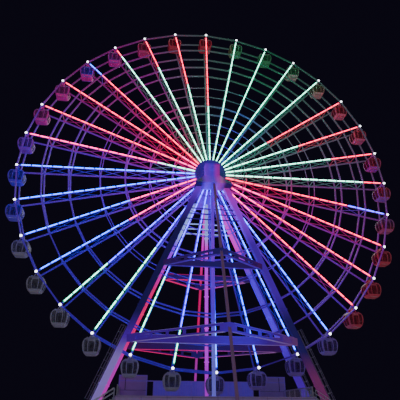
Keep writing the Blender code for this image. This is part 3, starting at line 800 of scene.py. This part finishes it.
def cabin_barrel():
    """The whole barrel as a closed shell, and the level of each face of its wall."""
    bm = bmesh.new()
    drop, wide, deep = LEVELS[0]
    ring = [bm.verts.new((point.x * HALF_WIDTH * wide, point.y * HALF_DEPTH * deep, -drop))
            for point in outline_points()]
    bm.faces.new(list(reversed(ring)))
    edges = [bm.edges.get((ring[k - 1], ring[k])) for k in range(len(ring))]
    level_of = {}
    for level, (next_drop, next_wide, next_deep) in enumerate(LEVELS[1:]):
        made = bmesh.ops.extrude_edge_only(bm, edges=edges)["geom"]
        corners = [item for item in made if isinstance(item, bmesh.types.BMVert)]
        level_of.update({item: level for item in made if isinstance(item, bmesh.types.BMFace)})
        bmesh.ops.translate(bm, verts=corners, vec=(0, 0, drop - next_drop))
        bmesh.ops.scale(bm, verts=corners, vec=(next_wide / wide, next_deep / deep, 1))
        edges = [item for item in made if isinstance(item, bmesh.types.BMEdge)
                 and all(vertex in corners for vertex in item.verts)]
        drop, wide, deep = next_drop, next_wide, next_deep
    bmesh.ops.contextual_create(bm, geom=edges)
    bmesh.ops.recalc_face_normals(bm, faces=bm.faces)
    return bm, level_of


def on_long_side(face):
    return abs(face.normal.y) > 0.75


def is_glazed(face, level):
    """Whether a face of the barrel lies in a window or in the door's glass."""
    if not SILL_LEVEL <= level < EAVES_LEVEL:
        return False
    centre = face.calc_center_median()
    if not on_long_side(face):
        return HALF_DEPTH * 0.06 < abs(centre.y) < HALF_DEPTH * 0.72
    across = abs(centre.x) / HALF_WIDTH
    if across < DOOR_EDGE:
        return level < DOOR_TOP_LEVEL
    return MULLION * 0.95 < across < WINDOW_END


def is_roof(face, level):
    """The cap over the eaves and the header panel over each door."""
    centre = face.calc_center_median()
    if level >= EAVES_LEVEL or (level < 0 and centre.z > -CABIN_DROP / 2):
        return True
    in_door_bay = on_long_side(face) and abs(centre.x) < DOOR_EDGE * HALF_WIDTH
    return level >= DOOR_TOP_LEVEL and in_door_bay


def is_underside(face, level):
    """The faces below the tub's turn, which the lamps don't reach."""
    return level < UNDERSIDE_LEVELS and not is_roof(face, level)


def is_shell(face, level):
    return not (is_glazed(face, level) or is_roof(face, level) or is_underside(face, level))


def barrel_part(keep, thickness, offset=0.0):
    """The barrel's faces that pass a test, as a wall of some thickness."""
    bm, level_of = cabin_barrel()
    lost = [face for face in bm.faces if not keep(face, level_of.get(face, -1))]
    bmesh.ops.delete(bm, geom=lost, context="FACES")
    for vertex in bm.verts:
        vertex.co -= vertex.normal * offset
    bmesh.ops.solidify(bm, geom=bm.faces, thickness=thickness)
    return bm


# %% [markdown]
# ### The cabins' finishes
# Tubs and roofs take the light of the part of the wheel that they hang in.  The
# wheel's own paint does that for all 32 with one material each, because its
# colours follow the place.  Tubs catch more light than what is above them, so
# they have their own ring of colours.

# %% Materials of the cabins
LEAF = (0.04, 0.34, 0.12)
FUCHSIA = (0.90, 0.0, 0.50)
EMBER = (0.58, 0.03, 0.07)
CREAM = (0.46, 0.38, 0.34)
PINK = (0.78, 0.14, 0.28)
PLUM = (0.20, 0.09, 0.50)
WASH_ON_THE_CABINS = [
    (0.00, 0.04, BLUE), (0.08, 0.23, ASH), (0.26, 0.35, PLUM), (0.37, 0.46, EMBER),
    (0.475, PLUM), (0.49, 0.61, EMBER), (0.63, 0.72, LEAF), (0.745, 0.81, EMBER),
    (0.85, MAUVE), (0.868, 0.888, BLUE), (0.90, 0.95, MAUVE), (0.98, VIOLET), (1.00, BLUE),
]
WASH_ON_THE_TUBS = [
    (0.00, 0.04, BLUE), (0.08, 0.23, ASH), (0.26, 0.35, PLUM), (0.37, 0.45, EMBER),
    (0.475, PLUM), (0.51, PURPLE), (0.53, MAUVE), (0.56, 0.60, PINK), (0.625, 0.65, CREAM),
    (0.68, 0.72, LEAF), (0.745, 0.81, EMBER), (0.845, 0.95, FUCHSIA), (0.975, PURPLE),
    (1.00, BLUE),
]
cabin_paint = wheel_paint("cabin_shell_paint", (0.66, 0.66, 0.74), 0.30, 0.42, 0.90,
                          WASH_ON_THE_TUBS)
# Painted shade: the underside is painted darker than the tub and glows less, for the shade under
# the tub's turn.
underside_shade_paint = wheel_paint("cabin_underside_painted_shade", (0.30, 0.30, 0.34), 0.45, 0.24, 0.90,
                              WASH_ON_THE_TUBS)
# Frames, roofs and glass carry the same painted lamp light, more faintly.
cabin_frame_paint = wheel_paint("cabin_frame_paint", (0.72, 0.72, 0.80), 0.30, 0.26, 0.84,
                                WASH_ON_THE_CABINS)
roof_paint = wheel_paint("cabin_roof_paint", (0.24, 0.24, 0.30), 0.36, 0.16, 0.70,
                         WASH_ON_THE_CABINS)
glass = wheel_paint("cabin_glass", (0.035, 0.040, 0.070), 0.16, 0.07, 0.30,
                    WASH_ON_THE_CABINS)
set_inputs(glass.node_tree, glass.node_tree.nodes["Principled BSDF"],
           {"Alpha": 0.42, "Specular IOR Level": 0.25, "IOR": 1.20})
glass.surface_render_method = "BLENDED"
print("paints with the cabins':", len(bpy.data.materials))


# %% Frames, doors, inside and hanger of a cabin, with the pivot at the origin
FRAME_LEVELS = (1, 3, 5, 6, 7, 8, 10, 12)
# Where a pair of tubes stands, as a share of the width, and the tubes' radius.
FRAME_TUBES = ((0.90, 0.0050), (0.375, 0.0040))
# Level and half length, as a share of the width, of the rails below the glass.
FRAME_RAILS = ((1, 0.90), (4, 0.92))
RAIL_TUBE = 0.0042
# The axle ends just before the plates on the lattices' inner faces.
AXLE_HALF = INNER_Y - PLATE_THICKNESS - 2 * GAP


def frame_tubes():
    """Tubes up the corners and beside the doors, which meet under the roof."""
    bm = bmesh.new()
    for hand, side in CORNERS:
        for share, radius in FRAME_TUBES:
            line = [barrel_point(level, hand * share, side) for level in FRAME_LEVELS]
            chain(rod, bm, line, radius)
    for side in SIDES:
        for level, share in FRAME_RAILS:
            rod(bm, barrel_point(level, -share, side), barrel_point(level, share, side),
                RAIL_TUBE)
    return bm


def inside_fittings():
    """Floor mat and hand rails, seen through the glass."""
    bm = bmesh.new()
    floor_z = -CABIN_DROP + 0.013
    rail_z = -0.166
    block(bm, (-0.050, -0.062, floor_z), (0.050, 0.062, floor_z + 0.003))
    for hand, side in CORNERS:
        rod(bm, Vector((hand * 0.048, side * 0.078, rail_z)),
            Vector((hand * 0.088, side * 0.078, rail_z)), 0.003)
    for x in (-0.096, 0.096):
        rod(bm, Vector((x, -0.060, rail_z)), Vector((x, 0.060, rail_z)), 0.003)
    return bm


def door_fittings():
    """Meeting line and handles of the doors on both long sides."""
    bm = bmesh.new()
    for side in SIDES:
        y = side * (HALF_DEPTH * 0.985 + 0.004)
        for x in (-0.006, 0.006):
            rod(bm, Vector((x, y, -0.165)), Vector((x, y, -0.140)), 0.0018)
        line = [barrel_point(level, 0, side) for level in range(SILL_LEVEL, DOOR_TOP_LEVEL + 1)]
        chain(flat_bar, bm, line, 0.0022, 0.006)
    return bm


def hanger():
    """Arms from the roof to the axle, the axle and its bearing collars."""
    bm = bmesh.new()
    rod(bm, BACK * -AXLE_HALF, BACK * AXLE_HALF, 0.012, 10)
    for side in SIDES:
        foot = Vector((0.0, side * HALF_DEPTH * 0.50, -0.044))
        for x in (-0.034, 0.034):
            flat_bar(bm, foot + RIGHT * x, Vector((x * 0.3, side * 0.052, -0.004)),
                     0.010, 0.006)
        rod(bm, BACK * (side * 0.048), BACK * (side * 0.058), 0.022, 12)
    return bm


# %% Give every cabin its own copy of the set
CABIN_SET = [
    ("shell", barrel_part(is_shell, 0.0035), cabin_paint, "cabin_shell", 50),
    ("underside", barrel_part(is_underside, 0.0035), underside_shade_paint, "cabin_shell", 50),
    ("roof_cap", barrel_part(is_roof, 0.003), roof_paint, "cabin_roof", 40),
    ("glass", barrel_part(is_glazed, 0.0015, 0.0010), glass, "cabin_glass", 40),
    ("frame_tubes", frame_tubes(), cabin_frame_paint, "cabin_shell", 40),
    ("door_fittings", door_fittings(), dark_seal, "dark_trim", None),
    ("inside_fittings", inside_fittings(), galvanised, "dark_trim", None),
    ("hanger_arms", hanger(), cabin_paint, "cabin_shell", 40),
]
repaint(cabin_paint, *CABINS)
for cabin in CABINS:
    for kind, pattern, material, slot, smooth in CABIN_SET:
        bm = pattern.copy()
        bmesh.ops.translate(bm, verts=bm.verts, vec=pivots[cabin])
        piece = finish_piece(cabin + "_" + kind, bm, material, cabin, smooth)
        if kind == "shell":
            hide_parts(cabin)
print("cabins dressed:", len(CABINS), "with", len(CABIN_SET), "pieces each")
for row in CABIN_SET:
    row[1].free()

# %% [markdown]
# ### Reading the legs from the frame
# A leg is a sheared prism: its foot plate and its top are level.  The middle
# of the lowest and of the highest points of its mesh give the line it follows.
# What is dressed on the front tower is mirrored for the rear one.

# %% Lines of the legs, and pieces for both towers
def level_points(name, pick):
    """A node's points at its lowest level if pick is min, at its highest if max."""
    points = [vertex.co for vertex in nodes[name].data.vertices]
    height = pick(point.z for point in points)
    return [point for point in points if abs(point.z - height) < 0.001]


def middle(points):
    return Vector([(min(point[k] for point in points) + max(point[k] for point in points)) / 2
                   for k in range(3)])


def leg_line(name):
    return [middle(level_points(name, pick)) for pick in (min, max)]


def on_line(ends, z):
    foot, top = ends
    return foot + (top - foot) * ((z - foot.z) / (top.z - foot.z))


def tower_piece(end, name, bm, material, smooth=None):
    """Finish a piece of the front tower, or mirror it first for the rear one."""
    if end == "rear":
        bmesh.ops.scale(bm, vec=(1, -1, 1), verts=bm.verts)
        bmesh.ops.reverse_faces(bm, faces=bm.faces)
    finish_piece(end + "_" + name, bm, material, "tower", smooth)


def both_towers(name, bm, material, smooth=None):
    """Finish a piece for each tower; material may be a table of one for each."""
    for end, copy in (("front", bm), ("rear", bm.copy())):
        paint = material[end] if isinstance(material, dict) else material
        tower_piece(end, name, copy, paint, smooth)


LEGS = {hand: leg_line("front_" + hand + "_leg") for hand in ("left", "right")}
STAY = leg_line("front_stay_leg")
leg_top = level_points("front_left_leg", max)
LEG_HALF = max(point.x for point in leg_top) - middle(leg_top).x
print("legs:", {hand: [tuple(round(v, 3) for v in p) for p in ends]
                for hand, ends in LEGS.items()})

# %% [markdown]
# ### Splices, edge strips and feet of the main legs
# A box leg comes in lengths that are bolted together at flanges.  Each splice
# is a pair of plates round the box with a row of bolts.  Thin strips along the
# edges show where the box's webs are welded; as real bars they also catch the
# light, which lines in a texture would not.

# %% Splice flanges with bolts, and edge strips
SPLICE_HEIGHTS = (0.46, 1.38, 2.30)
SPLICE_REACH = LEG_HALF + 0.010
SPLICE_PLATE = 0.007
SPLICE_BOLTS = 4
EDGE_STRIP = 0.006
EDGE_STRIP_START = 0.06


def splices(ends):
    bm = bmesh.new()
    for z in SPLICE_HEIGHTS:
        centre = on_line(ends, z)
        for low in (z - 0.0075, z + 0.0005):
            upright(bm, centre.x, centre.y, SPLICE_REACH, SPLICE_REACH, low, low + SPLICE_PLATE)
        for k in range(SPLICE_BOLTS):
            shift = SPLICE_REACH * (k - 1.5) / 2
            for edge in (0.004 - SPLICE_REACH, SPLICE_REACH - 0.004):
                for x, y in ((shift, edge), (edge, shift)):
                    seat = centre + Vector((x, y, 0.0078))
                    rod(bm, seat, seat + UP * 0.004, 0.0030)
    return bm


def edge_strips(ends):
    bm = bmesh.new()
    reach = LEG_HALF + 0.0012
    for x, y in CORNERS:
        shift = Vector((x * reach, y * reach, 0))
        flat_bar(bm, on_line(ends, EDGE_STRIP_START) + shift,
                 on_line(ends, ends[1].z - 0.004) + shift, EDGE_STRIP, EDGE_STRIP)
    return bm


for (end, hand), paint in LEG_PAINT.items():
    for name, shape in (("splices", splices), ("edge_strips", edge_strips)):
        tower_piece(end, hand + "_leg_" + name, shape(LEGS[hand]), paint)

# %% Anchor bolts on the foot plates
FOOT_RATIO = 1.35
FOOT_PLATE_TOP = 0.0404


def anchor_bolts():
    """A nut with the end of its bolt at each corner of a foot plate."""
    bm = bmesh.new()
    reach = LEG_HALF * FOOT_RATIO - 0.006
    for foot, top in LEGS.values():
        for x, y in CORNERS:
            seat = foot + Vector((x * reach, y * reach, FOOT_PLATE_TOP))
            rod(bm, seat, seat + UP * 0.008, 0.004)
            rod(bm, seat, seat + UP * 0.016, 0.002)
    return bm


both_towers("anchor_bolts", anchor_bolts(), galvanised)

# %% [markdown]
# ### Ladders with safety cages
# A ladder climbs the outer face of each main leg from the ground to just above
# the low ring.  Two stringers carry the rungs, and hoops joined by flat bars
# make the cage.  A hoop is a chain of flat bars along an arc, laid out in the
# plane that stands square to the leg.

# %% Model one ladder along each leg
LADDER_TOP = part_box("front_low_ring_girder")[1].z + 0.10
LADDER_BOTTOM = 0.06
LADDER_STANDOFF = 0.020
LADDER_REACH = BACK * 0.022
LADDER_BRACKETS = 5
RUNG_PITCH = 0.030
CAGE_START = 0.24
HOOP_PITCH = 0.090
HOOP_RADIUS = 0.040
HOOP_CENTRE = 0.024
HOOP_HALF_TURN = 0.62 * pi


def ladders():
    bm = bmesh.new()
    for outward, ends in zip(SIDES, LEGS.values()):
        shift = RIGHT * (outward * (LEG_HALF + LADDER_STANDOFF))
        low = on_line(ends, LADDER_BOTTOM) + shift
        high = on_line(ends, LADDER_TOP) + shift
        length = (high - low).length
        along = (high - low).normalized()
        for edge in (-LADDER_REACH, LADDER_REACH):
            flat_bar(bm, low + edge, high + edge, 0.007, 0.003)
            for k in range(LADDER_BRACKETS):
                bracket = low + edge + along * (length * (k + 0.5) / LADDER_BRACKETS)
                flat_bar(bm, bracket, bracket - shift * 0.30, 0.004, 0.003)
        for k in range(1, int(length / RUNG_PITCH)):
            rung = low + along * (RUNG_PITCH * k)
            rod(bm, rung - LADDER_REACH, rung + LADDER_REACH, 0.0018, 5)
        away = BACK.cross(along) * outward
        hoop = []
        for step in range(9):
            bend = HOOP_HALF_TURN * (step / 4 - 1)
            hoop.append(away * (HOOP_CENTRE + HOOP_RADIUS * cos(bend))
                        + BACK * (HOOP_RADIUS * sin(bend)))
        first_hoop = low + along * CAGE_START
        rise = along * HOOP_PITCH
        count = int((length - CAGE_START) / HOOP_PITCH)
        for k in range(count + 1):
            chain(flat_bar, bm, [first_hoop + rise * k + point for point in hoop],
                  0.005, 0.0022, up=along)
        for point in hoop[1:-1:2]:
            flat_bar(bm, first_hoop + point, first_hoop + rise * count + point, 0.004, 0.002)
    return bm


both_towers("ladders", ladders(), ladder_paint)
print("ladders reach", round(LADDER_TOP, 3))

# %% [markdown]
# ### Ring girders, upper ties and collars
# The two rings are box girders with a wide cover plate above and below, which
# shows as a line of painted light of its own colour over webs in a different
# wash, most of them near-black painted shade.  Higher up, short ties brace the
# upright column against the legs, and collars show where its lengths meet.  All
# of them are bars whose ends are read off the legs' lines, so that they meet them.

# %% Cover plates of the ring girders
RING_TIE_Y = -0.340
RING_CORNER_SETBACK = 0.050
COVER_THICKNESS = 0.0025


def ring_flanges(name):
    """Plates over and under a ring's two arms and the tie between its corners."""
    low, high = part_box("front_" + name + "_ring_girder")
    z = (low.z + high.z) / 2
    corner = Vector((on_line(LEGS["right"], z).x - RING_CORNER_SETBACK, RING_TIE_Y, 0))
    other = Vector((-corner.x, corner.y, 0))
    apex = Vector((0, on_line(STAY, z).y, 0))
    bm = bmesh.new()
    for lift in (UP * (low.z - 0.0015), UP * (high.z + 0.0015)):
        for start, end, inset, width in ((corner, apex, 0.062, 0.044),
                                         (apex, other, 0.062, 0.044),
                                         (other, corner, 0.075, 0.042)):
            run = (end - start).normalized() * inset
            flat_bar(bm, start + run + lift, end - run + lift, width, COVER_THICKNESS, up=UP)
    return bm


for ring, (web, flange) in RING_PAINT.items():
    end, name = ring.split("_")
    tower_piece(end, name + "_ring_flanges", ring_flanges(name), flange)

# %% Ties between the legs and the column, and the column's collars
TIE_HEIGHTS = (2.60, 2.68, 2.76)
COLLAR_PITCH = 0.44
COLLAR_MARGIN = 0.010
column_low, column_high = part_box("front_plumb_column")
COLUMN = (column_low + column_high) / 2
COLUMN_RADIUS = (column_high.x - column_low.x) / 2


def upper_ties():
    bm = bmesh.new()
    for outward, ends in zip(SIDES, LEGS.values()):
        for z in TIE_HEIGHTS:
            leg = on_line(ends, z)
            rod(bm, Vector((leg.x - outward * LEG_HALF, leg.y, z)),
                Vector((outward * COLUMN_RADIUS, COLUMN.y, z)), 0.009, 8)
    return bm


def column_collars():
    bm = bmesh.new()
    for z in spaced(column_low.z + 0.002, column_high.z - 0.03, COLLAR_PITCH):
        centre = Vector((COLUMN.x, COLUMN.y, z))
        rod(bm, centre, centre + UP * 0.010, COLUMN_RADIUS + COLLAR_MARGIN, 16)
    return bm


both_towers("upper_ties", upper_ties(), TIE_PAINT, smooth=40)
both_towers("column_collars", column_collars(), COLUMN_PAINT, smooth=40)

# %% [markdown]
# ### Tower heads
# Each head is a welded block with a bolted bearing cap on its outer face and a
# lid over a dark joint.  The cap is a spun profile, which keeps its steps crisp
# where a cylinder with bevels would round them all alike.

# %% Bearing cap and lid
BEARING_CAP = [(0.0, 0.0), (0.0, 0.050), (-0.008, 0.050), (-0.012, 0.044), (-0.012, 0.032),
               (-0.020, 0.028), (-0.020, 0.0)]
CAP_BOLTS = 12
CAP_BOLT_CIRCLE = 0.044
JOINT_HEIGHT = 0.003
head_top = level_points("front_tower_head", max)
HEAD_TOP = head_top[0].z
HEAD_OUTER = min(point.y for point in head_top)
HEAD_INNER = max(point.y for point in head_top)
HEAD_HALF = max(point.x for point in head_top)


def bearing_caps():
    bm = bmesh.new()
    centre = Vector((0, HEAD_OUTER - GAP, HUB.z))
    spun(bm, BEARING_CAP, centre, 24)
    for k in range(CAP_BOLTS):
        angle = 2 * pi * k / CAP_BOLTS
        seat = centre + Vector((CAP_BOLT_CIRCLE * sin(angle), -0.0084,
                                CAP_BOLT_CIRCLE * cos(angle)))
        rod(bm, seat, seat - BACK * 0.005, 0.0032)
    return bm


def head_slab(margin, low, high):
    """A slab on the head's block that stands out by a margin all round."""
    bm = bmesh.new()
    block(bm, (-HEAD_HALF - margin, HEAD_OUTER - margin, HEAD_TOP + low),
          (HEAD_HALF + margin, HEAD_INNER + margin, HEAD_TOP + high))
    return bm


both_towers("bearing_caps", bearing_caps(), head_paint, smooth=35)
both_towers("head_lids", head_slab(0.006, JOINT_HEIGHT, 0.011), head_paint)
both_towers("head_joints", head_slab(0.002, GAP, JOINT_HEIGHT - GAP), dark_seal)

# %% [markdown]
# ### Platform
# The deck is planked, its fascia shows the joints of its panels, the long rear
# screen carries a ribbed translucent panel and its tall end bays are clad.
# Boards, joints and ribs repeat at an even pitch, so each is a loop of boxes.
# An Array modifier would be shorter, but loops show where each box stands.

# %% Deck boards and fascia joints
deck_low, deck_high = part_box("platform_deck")
DECK = (deck_low + deck_high) / 2
BOARD_WIDTH = 0.020
BOARD_GAP = 0.0012
BOARD_END = deck_high.x - 0.024 - BOARD_WIDTH
boards = bmesh.new()
for x in spaced(deck_low.x + 0.026, BOARD_END, BOARD_WIDTH):
    block(boards, (x, deck_low.y + 0.028, deck_high.z + GAP),
          (x + BOARD_WIDTH - BOARD_GAP, deck_high.y - 0.028, deck_high.z + 0.003))
decking = plain_paint("deck_board_finish", (0.40, 0.38, 0.35), 0.60, scale=30.0, change=0.2)
finish_piece("deck_boards", boards, decking, "tower")

FASCIA_PANEL = 0.28
JOINT_HALF = 0.0012
JOINT_PROUD = 0.0004
deck_length = deck_high.x - deck_low.x
panels = round(deck_length / FASCIA_PANEL)
joints = bmesh.new()
for y in (deck_low.y - JOINT_PROUD / 2, deck_high.y + JOINT_PROUD / 2):
    for k in range(1, panels):
        upright(joints, deck_low.x + deck_length * k / panels, y, JOINT_HALF, JOINT_PROUD / 2,
                deck_low.z, deck_high.z)
    for z in (deck_high.z - 0.012, deck_high.z - 0.075):
        upright(joints, DECK.x, y, deck_length / 2, JOINT_PROUD / 2, z - 0.0015, z + 0.0015)
finish_piece("fascia_joints", joints, dark_seal, "tower")

# %% Ribbed panel of the rear screen
screen_low, screen_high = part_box("rear_screen")
SCREEN_HALF = 0.690
SCREEN_HEIGHT = 0.224
RAIL = 0.012
RIB_PITCH = 0.034
PANEL_HALF = SCREEN_HALF - RAIL
screen_y = (screen_low.y + screen_high.y) / 2
panel_low = screen_low.z + RAIL
panel_high = screen_low.z + SCREEN_HEIGHT - RAIL
# The panel's faint violet glow is painted lamp light.
translucent, tree, shader = new_material("translucent_screen_panel")
veins = noise(tree, object_coordinates(tree), 11.0)
set_inputs(tree, shader, {
    "Base Color": ramp(tree, veins, [(0.3, (0.12, 0.11, 0.28)), (0.7, (0.18, 0.16, 0.36))]),
    "Roughness": 0.28, "Emission Color": (0.030, 0.010, 0.19), "Emission Strength": 1.0})
panel = bmesh.new()
upright(panel, 0, screen_y, PANEL_HALF, 0.002, panel_low, panel_high)
finish_piece("screen_panel", panel, translucent, "tower")
ribs = bmesh.new()
for x in spaced(-PANEL_HALF + RIB_PITCH / 2, PANEL_HALF, RIB_PITCH):
    for y in (screen_y - 0.004, screen_y + 0.004):
        upright(ribs, x, y, 0.003, 0.0015, panel_low, panel_high)
finish_piece("screen_ribs", ribs, frame_paint, "tower")

# %% Clad end bays of the rear screen
BAY_EDGE = 0.776
BAY_START = BAY_EDGE + RAIL / 2
BAY_END = screen_high.x - RAIL
BAY_POST = BAY_EDGE + 0.285
# Bottom and top of each panel of a bay, above the screen's foot.
BAY_PANELS = ((RAIL, 0.100), (0.104, SCREEN_HEIGHT - RAIL),
              (SCREEN_HEIGHT, screen_high.z - screen_low.z - RAIL))
bays = bmesh.new()
bay_posts = bmesh.new()
for side in SIDES:
    for bottom, top in BAY_PANELS:
        upright(bays, side * (BAY_START + BAY_END) / 2, screen_y, (BAY_END - BAY_START) / 2,
                0.005, screen_low.z + bottom, screen_low.z + top)
    upright(bay_posts, side * BAY_POST, screen_y, 0.004, 0.007, screen_low.z + 0.104,
            screen_high.z - RAIL)
finish_piece("end_bay_panels", bays, cladding_paint, "tower")
finish_piece("end_bay_posts", bay_posts, dark_seal, "tower")

# %% Infill bars of the parapets
BAR_SPACING = 0.020
parapet_low, parapet_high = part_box("left_parapet")
infill = bmesh.new()
for side in SIDES:
    x = side * abs(parapet_low.x + parapet_high.x) / 2
    for y in spaced(parapet_low.y + BAR_SPACING, parapet_high.y - 0.010, BAR_SPACING):
        rod(infill, Vector((x, y, parapet_low.z + 0.010)),
            Vector((x, y, parapet_high.z - 0.010)), 0.0016, 5)
finish_piece("parapet_bars", infill, galvanised, "tower")

# %% Stair nosings and handrails
STEPS = 18
GOING = 0.029
RISE = deck_high.z / STEPS
STEPS_TO_A_POST = 4
NOSING_HALF = 0.0035
HANDRAIL_HEIGHT = 0.100
KNEE_RAIL_DROP = UP * -0.045
stair_trim = bmesh.new()
for hand, name in zip(SIDES, ("left_stair", "right_stair")):
    stair_low, stair_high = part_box(name)
    for k in range(1, STEPS):
        z = deck_high.z - RISE * k
        upright(stair_trim, hand * (deck_high.x + GOING * k - 0.0025),
                (stair_low.y + stair_high.y) / 2, NOSING_HALF,
                (stair_high.y - stair_low.y) / 2 - 0.004, z + GAP, z + 0.002)
    for y in (stair_low.y + 0.006, stair_high.y - 0.006):
        tops = []
        for k in range(0, STEPS, STEPS_TO_A_POST):
            foot = Vector((hand * (deck_high.x + GOING * (k + 0.5)), y,
                           deck_high.z - RISE * (k + 1)))
            tops.append(foot + UP * HANDRAIL_HEIGHT)
            rod(stair_trim, foot + UP * GAP, tops[-1], 0.004, 8)
        rod(stair_trim, tops[0], tops[-1], 0.004, 8)
        rod(stair_trim, tops[0] + KNEE_RAIL_DROP, tops[-1] + KNEE_RAIL_DROP, 0.003, 8)
finish_piece("stair_nosings_and_rails", stair_trim, galvanised, "tower")

# %% Anchor bolts of the platform's columns
column_corners = {(round(point.x, 3), round(point.y, 3))
                  for point in level_points("platform_frame", min)}
print("platform column corners:", len(column_corners))
platform_bolts = bmesh.new()
for x, y in sorted(column_corners):
    rod(platform_bolts, Vector((x, y, GAP)), Vector((x, y, 0.010)), 0.006)
finish_piece("platform_anchor_bolts", platform_bolts, galvanised, "tower")

# %% [markdown]
# ### Studio
# A plain pale floor under a sky that is almost black, with four broad area
# lamps turned low.  A bright studio would show the steel better but would drown
# the coloured light, which is what the wheel is known by at night.

# %% Floor and world
floor_mesh = bpy.data.meshes.new("studio_floor")
bm = bmesh.new()
bmesh.ops.create_grid(bm, x_segments=1, y_segments=1, size=60.0,
                      matrix=Matrix.Translation((0, 0, -0.0005)))
bm.to_mesh(floor_mesh)
bm.free()
floor_material, tree, shader = new_material("pale_floor")
dust = noise(tree, object_coordinates(tree), 0.8)
pale = ramp(tree, dust, [(0.3, (0.60, 0.60, 0.61)), (0.7, (0.64, 0.64, 0.65))])
set_inputs(tree, shader, {"Base Color": pale, "Roughness": 0.75})
floor_mesh.materials.append(floor_material)
new_object("studio_floor", floor_mesh)

world = bpy.data.worlds.new("studio_world")
world.use_nodes = True
set_inputs(world.node_tree, world.node_tree.nodes["Background"],
           {"Color": (0.0040, 0.0030, 0.0085), "Strength": 1.0})
bpy.context.scene.world = world


# %% Lamps
def soft_lamp(name, place, target, size, watts, colour=(1.0, 1.0, 1.0)):
    data = bpy.data.lights.new(name, "AREA")
    data.size = size
    data.energy = watts
    data.color = colour
    backwards = Vector(place) - Vector(target)
    turned = backwards.to_track_quat("Z", "Y").to_matrix().to_4x4()
    new_object(name, data).matrix_world = Matrix.Translation(place) @ turned


soft_lamp("key_lamp", (-7.0, -11.0, 9.0), (0, 0, 2.8), 7.0, 170.0, (1.0, 0.98, 0.96))
soft_lamp("fill_lamp", (9.0, -8.0, 5.0), (0, 0, 2.8), 8.0, 80.0, (0.95, 0.97, 1.0))
soft_lamp("back_lamp", (3.0, 13.0, 9.0), (0, 0, 2.8), 8.0, 320.0)
soft_lamp("top_lamp", (0.0, 3.0, 15.0), (0, 0, 0.0), 9.0, 200.0)
print("lamps:", len(bpy.data.lights))
